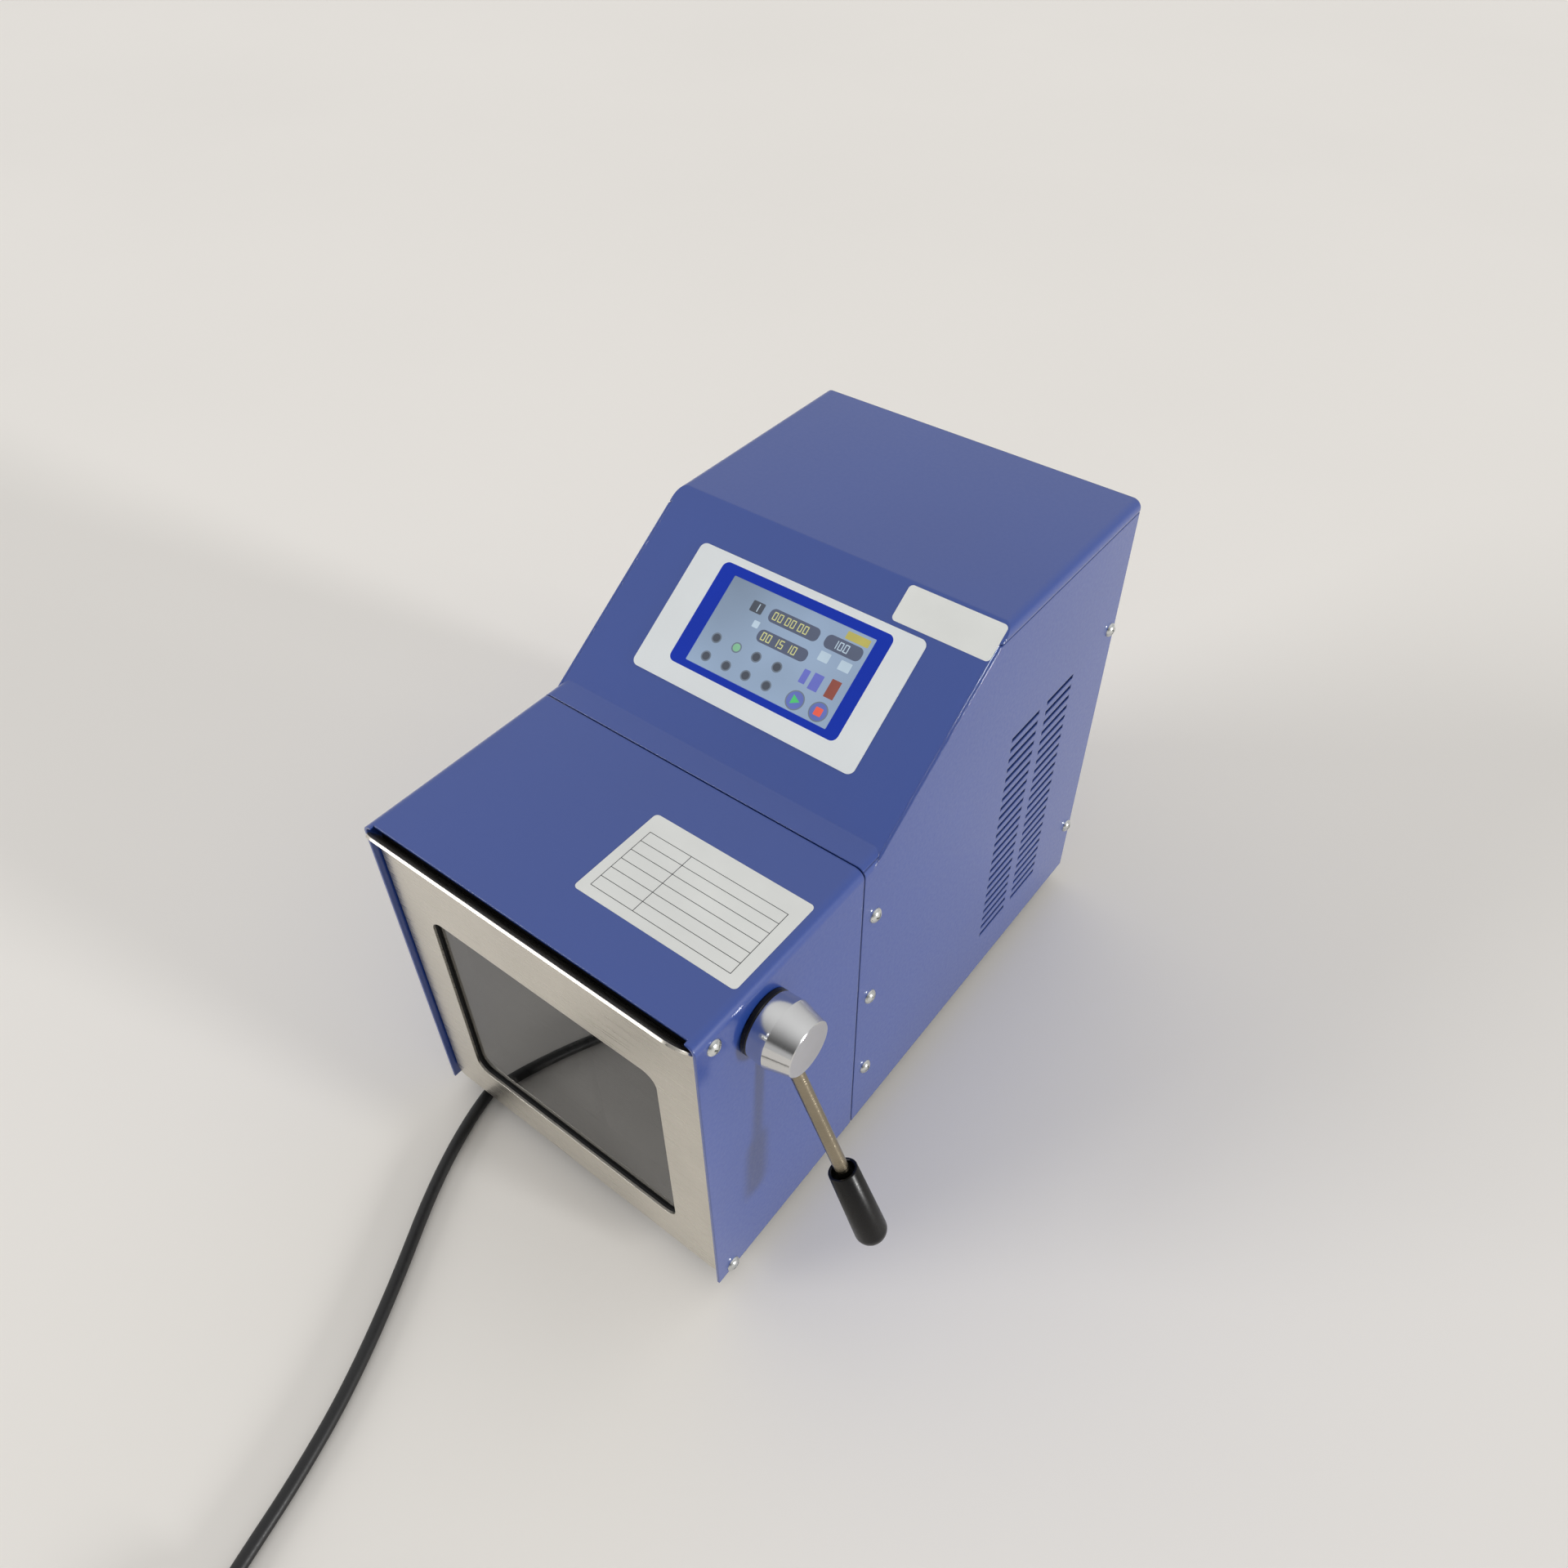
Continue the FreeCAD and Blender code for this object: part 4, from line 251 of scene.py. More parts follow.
def tinted_glass(name, colour):
    """Smoked glass, clean with a slight unevenness of its polish."""
    mat = shader(name, colour, 0.02, ior=1.52)
    surface = surface_of(mat)
    surface.inputs["Transmission Weight"].default_value = 1.0
    link(mat, remap(mat, noise(mat, 25), 0.0, 0.05), surface.inputs["Roughness"])
    return mat


def lit(name, colour, strength, scale=60.0):
    """A lit patch of the display behind its glossy film."""
    mat = shader(name, scaled(colour, 0.3), 0.25, coat=0.5)
    surface = surface_of(mat)
    cells = noise(mat, scale, detail=1.0)
    link(mat, blend_colours(mat, cells, scaled(colour, 0.9), scaled(colour, 1.08)),
         surface.inputs["Emission Color"])
    surface.inputs["Emission Strength"].default_value = strength
    return mat


def dim_corner(mat, corner, share, reach):
    """Dims the light of mat to a share at corner, and leaves all of it from the distance reach on."""
    surface = surface_of(mat)
    full = surface.inputs["Emission Strength"].default_value
    place = add(mat, "ShaderNodeTexCoord")
    distance = add(mat, "ShaderNodeVectorMath", operation="DISTANCE")
    distance.inputs[1].default_value = corner
    link(mat, place.outputs["Object"], distance.inputs[0])
    link(mat, remap(mat, distance.outputs["Value"], full * share, full, 0, reach),
         surface.inputs["Emission Strength"])


glass = tinted_glass("smoked_glass", srgb(120, 121, 122))

# Which CAD nodes have which material; the nodes that finer pieces replace have none
DRESS = {
    paint: ["chamber_cover", "housing_side_left", "housing_side_right", "housing_top", "rear_panel"],
    door_steel: ["door_panel"],
    plain_steel: ["chamber_liner", "clamp_bar", "paddle_left", "paddle_right", "catch_pins", "hinge_pins",
                  "latch_hooks", "crankshaft", "crank_rollers", "crank_bearings", "motor_shaft",
                  "push_rod_left", "push_rod_right", "lever_shaft"],
    zinc: ["base_plate", "frame_posts", "motor_bracket", "board_standoffs", "frame_nuts"],
    aluminium: ["guide_block", "yoke_left", "yoke_right", "bearing_blocks", "driven_pulley",
                "motor_pulley"],
    bronze: ["shaft_bushes", "rod_bushes"],
    casting: ["motor_housing"],
    black_plastic: ["window_frame", "display_module", "fan_frame", "fan_rotor", "switch_body",
                    "switch_rocker"],
    black_rubber: ["rubber_feet", "window_gasket", "clamp_strip", "rod_seals", "drive_belt"],
    board_green: ["power_board"],
    glass: ["window_glass"],
}
for material, names in DRESS.items():
    for name in names:
        nodes[name].data.materials.clear()
        nodes[name].data.materials.append(material)


# Shapes in millimetres, as lists of vertices and faces

def rounded(left, low, right, high, radius, steps=6):
    """The outline of a rectangle with round corners."""
    points = []
    corners = ((right - radius, high - radius, 0), (left + radius, high - radius, 90),
               (left + radius, low + radius, 180), (right - radius, low + radius, 270))
    for x, y, start in corners:
        for step in range(steps + 1):
            angle = math.radians(start + 90 * step / steps)
            points.append((x + radius * math.cos(angle), y + radius * math.sin(angle)))
    return points


def circle(x, y, radius, steps=32):
    """The outline of a disc."""
    angles = [math.tau * step / steps for step in range(steps)]
    return [(x + radius * math.cos(angle), y + radius * math.sin(angle)) for angle in angles]


def prism(points, low, high):
    """An outline raised from one level to another."""
    count = len(points)
    verts = [(x, y, level) for level in (low, high) for x, y in points]
    faces = [list(range(count))[::-1], list(range(count, count * 2))]
    for step in range(count):
        after = (step + 1) % count
        faces.append([step, after, after + count, step + count])
    return verts, faces


def frame_shape(outer, inner, low, high):
    """A plate with one opening; both outlines have the same number of points."""
    count = len(outer)
    verts = [(x, y, level) for level in (low, high) for loop in (outer, inner) for x, y in loop]
    faces = []
    for step in range(count):
        after = (step + 1) % count
        a, b, c, d = step, after, after + count, step + count
        rise = count * 2
        faces.append([a, d, c, b])
        faces.append([a + rise, b + rise, c + rise, d + rise])
        faces.append([a, b, b + rise, a + rise])
        faces.append([d, d + rise, c + rise, c])
    return verts, faces


def ring_faces(rings, steps):
    """The faces over a row of rings that have the same number of points, closed at both ends."""
    faces = []
    for ring in range(rings - 1):
        for step in range(steps):
            after = (step + 1) % steps
            first, second = ring * steps, (ring + 1) * steps
            faces.append([first + step, first + after, second + after, second + step])
    last = (rings - 1) * steps
    return faces + [list(range(steps))[::-1], list(range(last, last + steps))]


def lathe(profile, steps=96):
    """A solid turned about the third axis; the profile is height and radius from one end to the other."""
    verts = []
    for height, radius in profile:
        for step in range(steps):
            angle = math.tau * step / steps
            verts.append((radius * math.cos(angle), radius * math.sin(angle), height))
    return verts, ring_faces(len(profile), steps)


def arc_profile(centre, radius, start, stop, steps=6):
    """Points of a rounding in a lathe's profile, as height and radius."""
    points = []
    for step in range(steps + 1):
        angle = math.radians(start + (stop - start) * step / steps)
        points.append((centre[0] + radius * math.sin(angle), centre[1] + radius * math.cos(angle)))
    return points


class Piece:
    """Shapes gathered into one object of the scene."""

    def __init__(self, name):
        self.name = name
        self.verts = []
        self.faces = []
        self.which = []
        self.materials = []

    def add(self, shape, material, matrix):
        verts, faces = shape
        start = len(self.verts)
        if material not in self.materials:
            self.materials.append(material)
        self.verts += [matrix @ Vector(vert) for vert in verts]
        self.faces += [[index + start for index in face] for face in faces]
        self.which += [self.materials.index(material)] * len(faces)
        return self

    def make(self, body, slot, *replaced, sharp=32):
        """The object, on its body; edges under sharp degrees are shaded smooth."""
        mesh = bpy.data.meshes.new(self.name)
        mesh.from_pydata(self.verts, [], self.faces)
        for material in self.materials:
            mesh.materials.append(material)
        for face, index in zip(mesh.polygons, self.which):
            face.material_index = index
        mesh.shade_smooth()
        mesh.set_sharp_from_angle(angle=math.radians(sharp))
        thing = bpy.data.objects.new(self.name, mesh)
        bpy.context.scene.collection.objects.link(thing)
        return placed(thing, body, slot, *replaced)


def placed(thing, body, slot, *replaced):
    """Puts a piece on its body and in place of the CAD nodes that it replaces; slot is not used."""
    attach(thing, body)
    if replaced:
        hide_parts(*replaced)
    return thing


# Camera, lights and floor

CAMERA_PLACE = (0.28326, -0.40160, 0.69782)
CAMERA_TURN = math.radians(-38.070)
CAMERA_PITCH = math.radians(44.989)
CAMERA_ROLL = math.radians(0.634)
CAMERA_LENS = 28.23
SENSOR = 36
NEAREST = 0.01


def make_camera():
    """The photograph's camera, solved from the casing's edges; its heading is measured from the back."""
    ahead = Vector((math.cos(CAMERA_PITCH) * math.sin(CAMERA_TURN),
                    math.cos(CAMERA_PITCH) * math.cos(CAMERA_TURN), -math.sin(CAMERA_PITCH)))
    level = ahead.cross(Z).normalized()
    below = ahead.cross(level)
    cos, sin = math.cos(CAMERA_ROLL), math.sin(CAMERA_ROLL)
    right = level * cos + below * sin
    down = below * cos - level * sin
    data = bpy.data.cameras.new("Camera")
    data.sensor_width = SENSOR
    data.lens = CAMERA_LENS
    data.clip_start = NEAREST
    camera = bpy.data.objects.new("Camera", data)
    bpy.context.scene.collection.objects.link(camera)
    turn = Matrix((right, -down, -ahead)).transposed().to_4x4()
    camera.matrix_world = Matrix.Translation(CAMERA_PLACE) @ turn
    bpy.context.scene.camera = camera


def lamp(name, heading, rise, spread, strength):
    """A soft lamp far off: its heading from the back towards the right, its rise and width, in degrees."""
    data = bpy.data.lights.new(name, "SUN")
    data.angle = math.radians(spread)
    data.energy = strength
    thing = bpy.data.objects.new(name, data)
    bpy.context.scene.collection.objects.link(thing)
    level = math.cos(math.radians(rise))
    side = math.radians(heading)
    source = Vector((level * math.sin(side), level * math.cos(side), math.sin(math.radians(rise))))
    thing.location = source * 2
    thing.rotation_mode = "QUATERNION"
    thing.rotation_quaternion = (-source).to_track_quat("-Z", "Y")


# The pale room is a sum of soft patches of light: one overhead, a dark one in front, and a ring of
# patches by their headings, in degrees from the back towards the right. A pale horizon lies behind them.
OVERHEAD = ((0, 0, 1), 0.76)
DIM_FRONT = ((0.1, -0.7, 0.7), -0.12)
ROOM_PATCHES = {0: 0.6, 45: 0.1, 90: 0.42, 135: 0.08, 180: 0.08, 225: 0.08, 270: 0.58, 315: 0.1}
PATCH_LEVEL, PATCH_RISE = 0.94, 0.34
PATCH_FALLOFF = 3
HORIZON = 0.58
HORIZON_TOP = (0.18, 0.42)  # the horizon fades between these heights of the sight line


def make_world():
    """A pale room, dim in front, that leaves no hard mirror image in the paint."""
    world = bpy.data.worlds.new("Room")
    bpy.context.scene.world = world
    world.use_nodes = True
    back = world.node_tree.nodes["Background"]
    place = add(world, "ShaderNodeTexCoord")
    patches = [OVERHEAD, DIM_FRONT]
    for heading, strength in ROOM_PATCHES.items():
        angle = math.radians(heading)
        facing = (PATCH_LEVEL * math.sin(angle), PATCH_LEVEL * math.cos(angle), PATCH_RISE)
        patches.append((facing, strength))
    total = None
    for facing, strength in patches:
        toward = add(world, "ShaderNodeVectorMath", operation="DOT_PRODUCT")
        toward.inputs[1].default_value = facing
        forward = add(world, "ShaderNodeMath", operation="MAXIMUM")
        forward.inputs[1].default_value = 0
        falloff = add(world, "ShaderNodeMath", operation="POWER")
        falloff.inputs[1].default_value = PATCH_FALLOFF
        patch = add(world, "ShaderNodeMath", operation="MULTIPLY_ADD")
        patch.inputs[1].default_value = strength
        patch.inputs[2].default_value = 0
        link(world, place.outputs["Generated"], toward.inputs[0])
        link(world, toward.outputs["Value"], forward.inputs[0])
        link(world, forward.outputs["Value"], falloff.inputs[0])
        link(world, falloff.outputs["Value"], patch.inputs[0])
        if total:
            link(world, total, patch.inputs[2])
        total = patch.outputs["Value"]
    parts = add(world, "ShaderNodeSeparateXYZ")
    link(world, place.outputs["Generated"], parts.inputs["Vector"])
    either = add(world, "ShaderNodeMath", operation="MAXIMUM")
    link(world, total, either.inputs[0])
    link(world, remap(world, parts.outputs["Z"], HORIZON, 0, *HORIZON_TOP), either.inputs[1])
    link(world, either.outputs["Value"], back.inputs["Strength"])
    back.inputs["Color"].default_value = (1, 1, 1, 1)


FLOOR_HALF = 6


def make_floor():
    corners = [(x * FLOOR_HALF, y * FLOOR_HALF, 0) for x, y in ((-1, -1), (1, -1), (1, 1), (-1, 1))]
    mesh = bpy.data.meshes.new("floor")
    mesh.from_pydata(corners, [], [(0, 1, 2, 3)])
    mesh.materials.append(worn(shader("floor", srgb(241, 237, 231), 0.7, ior=1.25), 0.012, 1.2, (0.65, 0.8),
                               90, 10))
    floor = bpy.data.objects.new("floor", mesh)
    bpy.context.scene.collection.objects.link(floor)


bpy.context.scene.view_settings.view_transform = "Standard"
make_camera()
make_world()
make_floor()
lamp("window", 80.5, 11.3, 8, 1.65)
lamp("front_left", -141.3, 18.7, 28, 1.35)


# The mains cord, its coil, its plug and its strain relief. The route, the coil and the plug are in
# millimetres of the row frame, up from the table; the gland is in the casing's frame.

CORD_DIAMETER = 7.6
GLAND_X, GLAND_Z = 112, 76
GLAND_COLLAR, GLAND_BOOT = 3, 26
GLAND_END = GLAND_COLLAR + GLAND_BOOT
CORD_FIRST_RUN = 35
CORD_ROUTE = [
    (-37, 284, 65),
    (-41, 284, 29),
    (-46, 258.5, 3.8),
    (-54, 212.5, 3.8),
    (-63, 164.5, 3.8),
    (-73, 116.5, 3.8),
    (-86, 70.5, 3.8),
    (-100, 24.5, 3.8),
    (-112, -23.5, 3.8),
    (-121, -71.5, 3.8),
    (-126.5, -117.5, 3.8),
    (-128.5, -159.5, 3.8),
    (-123.5, -201.5, 3.8),
    (-105, -252.5, 3.8),
    (-74, -309.5, 3.8),
    (-50, -361.5, 3.8),
    (-36, -405.5, 3.8),
    (-27.5, -441.5, 3.8),
    (-19.5, -471.5, 3.8),
]
COIL_CENTRE = (31.3, -484)
OUTER_LANE, INNER_LANE = 45.8, 38.2
LOW_LAYER, HIGH_LAYER = 3.8, 11.4
COIL_START = 194.55
COIL_TURNS = 3.25
TURN_POINTS = 24
PLUG_HEADING = math.radians(14.45)
PLUG_DISTANCE = 28.9


def eased(value, start, stop):
    """A soft step, from 0 at start to 1 at stop."""
    share = min(1, max(0, (value - start) / (stop - start)))
    return share * share * (3 - 2 * share)


def coil_points():
    """The turns lie beside and on each other: out and in on the table, then in and out above."""
    points = []
    count = round(COIL_TURNS * TURN_POINTS)
    for step in range(count + 1):
        turn = step / TURN_POINTS
        inwards = eased(turn, 0.85, 1.0) - eased(turn, 2.7, 2.85)
        radius = OUTER_LANE + (INNER_LANE - OUTER_LANE) * inwards
        height = LOW_LAYER + (HIGH_LAYER - LOW_LAYER) * eased(turn, 1.85, 2.0)
        angle = math.radians(COIL_START + 360 * turn)
        points.append((COIL_CENTRE[0] + radius * math.cos(angle),
                       COIL_CENTRE[1] + radius * math.sin(angle), height))
    return points


def plug_tail():
    """Where the cord enters its plug, on the line that leaves the coil's outer lane."""
    ahead = Vector((math.cos(PLUG_HEADING), math.sin(PLUG_HEADING), 0))
    leave = Vector((COIL_CENTRE[0] + OUTER_LANE * math.sin(PLUG_HEADING),
                    COIL_CENTRE[1] - OUTER_LANE * math.cos(PLUG_HEADING), HIGH_LAYER))
    return leave + ahead * PLUG_DISTANCE, ahead


def nurbs_tube(name, points, radius, material):
    curve = bpy.data.curves.new(name, "CURVE")
    curve.dimensions = "3D"
    curve.bevel_depth = radius
    curve.bevel_resolution = 6
    curve.resolution_u = 6
    curve.use_fill_caps = True
    spline = curve.splines.new("NURBS")
    spline.points.add(len(points) - 1)
    for point, place in zip(spline.points, points):
        point.co = (*place, 1)
    spline.order_u = 3
    spline.use_endpoint_u = True
    curve.materials.append(material)
    thing = bpy.data.objects.new(name, curve)
    bpy.context.scene.collection.objects.link(thing)
    return thing


def make_cord():
    exit_place = at(GLAND_X, CASE_DEPTH + GLAND_END, GLAND_Z)
    tail, ahead = plug_tail()
    route = [exit_place, exit_place + Y * CORD_FIRST_RUN * MM]
    route += [Vector(point) * MM for point in CORD_ROUTE + coil_points()]
    route += [(tail - ahead * PLUG_DISTANCE / 2) * MM, tail * MM]
    tube = nurbs_tube("cord", route, CORD_DIAMETER / 2 * MM, cord_rubber)
    placed(tube, "casing", "black_rubber", "mains_cord", "cord_coil")
    return tube, exit_place


BOOT_RIBS = 9
BOOT_RIB = 2.6


def make_strain_relief():
    """A collar and a ribbed taper that grips the cord where it leaves the back."""
    profile = [(-4.5, 0.01), (-4.5, 11), (-1.5, 11), (-1.5, 8), (0, 8), (0, 11), (GLAND_COLLAR - 0.6, 11),
               (GLAND_COLLAR, 10.4), (GLAND_COLLAR, 8)]
    for step in range(BOOT_RIBS):
        start = GLAND_COLLAR + step * BOOT_RIB
        outer = 8 - 2.8 * step / BOOT_RIBS
        profile += [(start + 0.4, outer), (start + BOOT_RIB * 0.55, outer - 0.1),
                    (start + BOOT_RIB * 0.62, outer - 1.1), (start + BOOT_RIB * 0.95, outer - 1.2)]
    profile += [(GLAND_END, 5.2), (GLAND_END, 3.8)]
    piece = Piece("strain_relief_boot")
    turn = axes(at(GLAND_X, CASE_DEPTH, GLAND_Z), Z, X)
    piece.add(lathe(profile, 64), black_rubber, turn)
    piece.make("casing", "black_rubber", "strain_relief")


# The plug's sections: how far along, half width, half height, and how square they are
PLUG_SECTIONS = [
    (0, 5.2, 5.2, 2.0), (2, 5.4, 5.4, 2.0), (18, 7.2, 7.2, 2.0), (24, 8, 8, 2.1), (29, 12, 9.2, 2.5),
    (35, 16, 10.4, 3.2), (40, 17.4, 11.2, 4.0), (46, 17.0, 11.0, 4.5), (53, 17.6, 11.3, 5.0),
    (57, 18, 11.4, 5.0), (58, 17.4, 10.8, 5.0),
]
PLUG_STEPS = 56


def make_plug():
    """A moulded three-blade plug: a ribbed sleeve that widens into a waisted grip."""
    tail, ahead = plug_tail()
    stand = axes(tail * MM, Z.cross(ahead), Z)
    verts = []
    for along, wide, high, power in PLUG_SECTIONS:
        for step in range(PLUG_STEPS):
            angle = math.tau * step / PLUG_STEPS
            cos, sin = math.cos(angle), math.sin(angle)
            x = math.copysign(abs(cos) ** (2 / power), cos) * wide
            y = math.copysign(abs(sin) ** (2 / power), sin) * high
            verts.append((x, y, along))
    piece = Piece("plug")
    piece.add((verts, ring_faces(len(PLUG_SECTIONS), PLUG_STEPS)), black_rubber, stand)
    for step in range(5):
        rib = arc_profile((4 + step * 3.2, 5.2 + step * 0.4), 0.9, -70, 70, 4)
        piece.add(lathe([(rib[0][0], 4)] + rib + [(rib[-1][0], 4)], 48), black_rubber, stand)
    for aside, rise in ((-8, -3.2), (8, -3.2), (0, 6.4)):
        blade = rounded(aside - 0.8, rise - 3.15, aside + 0.8, rise + 3.15, 0.35, 3)
        piece.add(prism(blade, 57.5, 76), bronze, stand)
    return piece.make("casing", "black_rubber", "mains_plug")


cord, cord_exit = make_cord()
make_strain_relief()
plug = make_plug()


# Screws

def screw_mesh():
    """A pan head with a cross recess, standing on z = 0, in millimetres."""
    dome = [(0, 0.01), (0, 4.5), (0.5, 4.5), (1.3, 4.15), (2.0, 3.4), (2.6, 2.3), (2.9, 1.2), (3.0, 0.01)]
    verts, faces = lathe(dome, 48)
    mesh = bpy.data.meshes.new("screw_head")
    mesh.from_pydata(verts, [], faces)
    head = bpy.data.objects.new("screw_head", mesh)
    cross = bpy.data.meshes.new("screw_cross")
    form = bmesh.new()
    corners = ((-1, -1), (1, -1), (1, 1), (-1, 1))
    for wide, deep in ((3.1, 0.6), (0.6, 3.1)):
        low = [form.verts.new((x * wide * 0.45, y * deep * 0.45, 0.7)) for x, y in corners]
        top = [form.verts.new((x * wide, y * deep, 3.6)) for x, y in corners]
        form.faces.new(low[::-1])
        form.faces.new(top)
        for step in range(4):
            after = (step + 1) % 4
            form.faces.new([low[step], low[after], top[after], top[step]])
    form.to_mesh(cross)
    form.free()
    tool = bpy.data.objects.new("screw_cross", cross)
    for thing in (head, tool):
        bpy.context.scene.collection.objects.link(thing)
    cut = head.modifiers.new("recess", "BOOLEAN")
    cut.object = tool
    cut.operation = "DIFFERENCE"
    cut.use_self = True
    state = bpy.context.evaluated_depsgraph_get()
    result = bpy.data.meshes.new_from_object(head.evaluated_get(state))
    verts = [tuple(vert.co) for vert in result.vertices]
    faces = [list(face.vertices) for face in result.polygons]
    for thing in (head, tool):
        bpy.data.objects.remove(thing)
    return verts, faces


SCREW_SPIN = 17
SIDE_SCREWS = [(9.5, 4.5), (9, 223.5), (135.5, 48), (135.5, 119), (135.5, 190), (383.5, 46), (383.5, 220)]
REAR_SCREW_INSET = 6.45
REAR_SCREWS = [(x, z) for x in (REAR_SCREW_INSET, CASE_WIDTH - REAR_SCREW_INSET) for z in (25, 153, 281)]


def make_screws(head):
    """The casing's screws, each with its recess turned a little further."""
    piece = Piece("screws")
    for number, (y, z) in enumerate(SIDE_SCREWS):
        for face, across in ((RIGHT_FACE, y), (LEFT_FACE, -y)):
            turn = Matrix.Rotation(math.radians(SCREW_SPIN * (number * 2 + 1)), 4, "Z")
            piece.add(head, screw_zinc, face @ Matrix.Translation((across, z, 0)) @ turn)
    for number, (x, z) in enumerate(REAR_SCREWS):
        turn = Matrix.Rotation(math.radians(SCREW_SPIN * number * 3), 4, "Z")
        piece.add(head, screw_zinc, BACK_FACE @ Matrix.Translation((-x, z, 0)) @ turn)
    piece.make("casing", "zinc", "case_screws")


screw_head = screw_mesh()
make_screws(screw_head)


# The fan's guard, the power switch's marks and the fuse's cap

FAN_X, FAN_Z = 110, 210
GUARD_RADII = (17, 24.33, 31.67, 39)
WIRE = 1
THIN_WIRE = WIRE * 0.9
EYE = 3.2
FAN_SCREWS = 35.75
GUARD_SCREW_SIZE = 0.82


def torus(radius, wire, steps=96, around=12):
    """A ring of round wire."""
    verts = []
    faces = []
    for step in range(steps):
        turn = math.tau * step / steps
        for part in range(around):
            angle = math.tau * part / around
            out = radius + wire * math.cos(angle)
            verts.append((out * math.cos(turn), out * math.sin(turn), wire * math.sin(angle)))
    for step in range(steps):
        for part in range(around):
            first, second = step * around, (step + 1) % steps * around
            after = (part + 1) % around
            faces.append([first + part, second + part, second + after, first + after])
    return verts, faces


def wire_between(start, stop, wire):
    """A round wire with softened ends, flat on the guard's plane, as a shape and its matrix."""
    run = Vector(stop) - Vector(start)
    long = run.length
    shape = lathe([(0, 0.01), (0, wire * 0.7), (wire * 0.3, wire), (long - wire * 0.3, wire),
                   (long, wire * 0.7), (long, 0.01)], 16)
    return shape, Matrix.Translation(start) @ run.to_track_quat("Z", "X").to_matrix().to_4x4()


def make_guard(head):
    """Welded wire rings on a cross of wires, with an eye at each corner for the fan's screws."""
    stand = BACK_FACE @ Matrix.Translation((-FAN_X, FAN_Z, WIRE * 1.6))
    under = stand @ Matrix.Translation((0, 0, -WIRE * 0.6))
    guard = Piece("guard")
    for radius in GUARD_RADII:
        guard.add(torus(radius, WIRE), guard_wire, stand)
    for heading in range(4):
        angle = math.radians(90 * heading)
        ahead = Vector((math.cos(angle), math.sin(angle), 0))
        shape, turn = wire_between(ahead * GUARD_RADII[0], ahead * GUARD_RADII[-1], THIN_WIRE)
        guard.add(shape, guard_wire, under @ turn)
        corner = Vector((math.cos(angle + math.pi / 4), math.sin(angle + math.pi / 4), 0))
        eye = corner * FAN_SCREWS * math.sqrt(2)
        shape, turn = wire_between(corner * GUARD_RADII[-1], eye - corner * (EYE + 0.6), THIN_WIRE)
        guard.add(shape, guard_wire, under @ turn)
        eye_stand = under @ Matrix.Translation(eye)
        guard.add(torus(EYE, THIN_WIRE, 40), guard_wire, eye_stand)
        on_eye = Matrix.Translation((0, 0, WIRE * 0.3)) @ Matrix.Scale(GUARD_SCREW_SIZE, 4)
        guard.add(head, screw_zinc, eye_stand @ on_eye)
    guard.make("casing", "polished", "fan_guard", sharp=40)


SWITCH_X, SWITCH_Z = 48, 72
ROCKER_RISE, ROCKER_HALF = 2.7, 7
ROCKER_ROCK = math.radians(9)
SWITCH_RIM = 1.5
PRINT = 0.08


def make_switch_marks():
    """A bar for on and a ring for off, printed on the two ends of the rocker."""
    pivot = at(SWITCH_X, CASE_DEPTH + SWITCH_RIM - ROCKER_RISE, SWITCH_Z)
    marks = Piece("switch_marks")
    rock = Matrix.Rotation(ROCKER_ROCK, 3, "X")
    for side in (1, -1):
        along = rock @ Vector((0, ROCKER_RISE / 2, ROCKER_HALF * side)).normalized()
        middle = rock @ Vector((0, ROCKER_RISE * 0.77, ROCKER_HALF * side * 0.54))
        stand = axes(pivot + middle * MM, -X * side, along)
        if side > 0:
            mark = prism(rounded(-0.3, -1.5, 0.3, 1.5, 0.1, 2), 0, PRINT)
        else:
            mark = frame_shape(circle(0, 0, 1.5, 40), circle(0, 0, 1.0, 40), 0, PRINT)
        marks.add(mark, white_print, stand)
    marks.make("rocker", "overlay")


FUSE_X = 78
FUSE_CAP, FUSE_LENGTH = 7.5, 9
KNURL_POINTS = 120
KNURL_DEPTHS = (0, 0.25, 0.45, 0.25)


def make_fuse():
    """A fuse holder whose knurled cap has a coin slot across its end."""
    stand = BACK_FACE @ Matrix.Translation((-FUSE_X, SWITCH_Z, 0))
    holder = Piece("fuse_cap")
    body = [(-26, 0.01), (-26, 6), (0, 6), (0, 7.5), (1.6, 7.5), (2.0, 6.9), (2.4, 6.9), (2.4, 0.01)]
    holder.add(lathe(body, 64), black_plastic, stand)
    knurl = []
    for step in range(KNURL_POINTS):
        angle = math.tau * step / KNURL_POINTS
        radius = FUSE_CAP - KNURL_DEPTHS[step % len(KNURL_DEPTHS)]
        knurl.append((radius * math.cos(angle), radius * math.sin(angle)))
    knurl_end, slot_floor = FUSE_LENGTH - 1.4, FUSE_LENGTH - 1
    holder.add(prism(knurl, 2.4, knurl_end), black_plastic, stand)
    holder.add(lathe([(knurl_end, 0.01), (knurl_end, 7), (slot_floor, 7), (slot_floor, 0.01)], 64),
               black_plastic, stand)
    for side in (1, -1):
        half = []
        for step in range(25):
            angle = math.radians(-83 + 166 * step / 24)
            half.append((6.4 * math.cos(angle) * side, 6.4 * math.sin(angle)))
        if side < 0:
            half = half[::-1]
        holder.add(prism(half, slot_floor, FUSE_LENGTH), black_plastic, stand)
    holder.make("casing", "black_plastic", "fuse_holder")


make_guard(screw_head)
make_switch_marks()
make_fuse()


# The lever

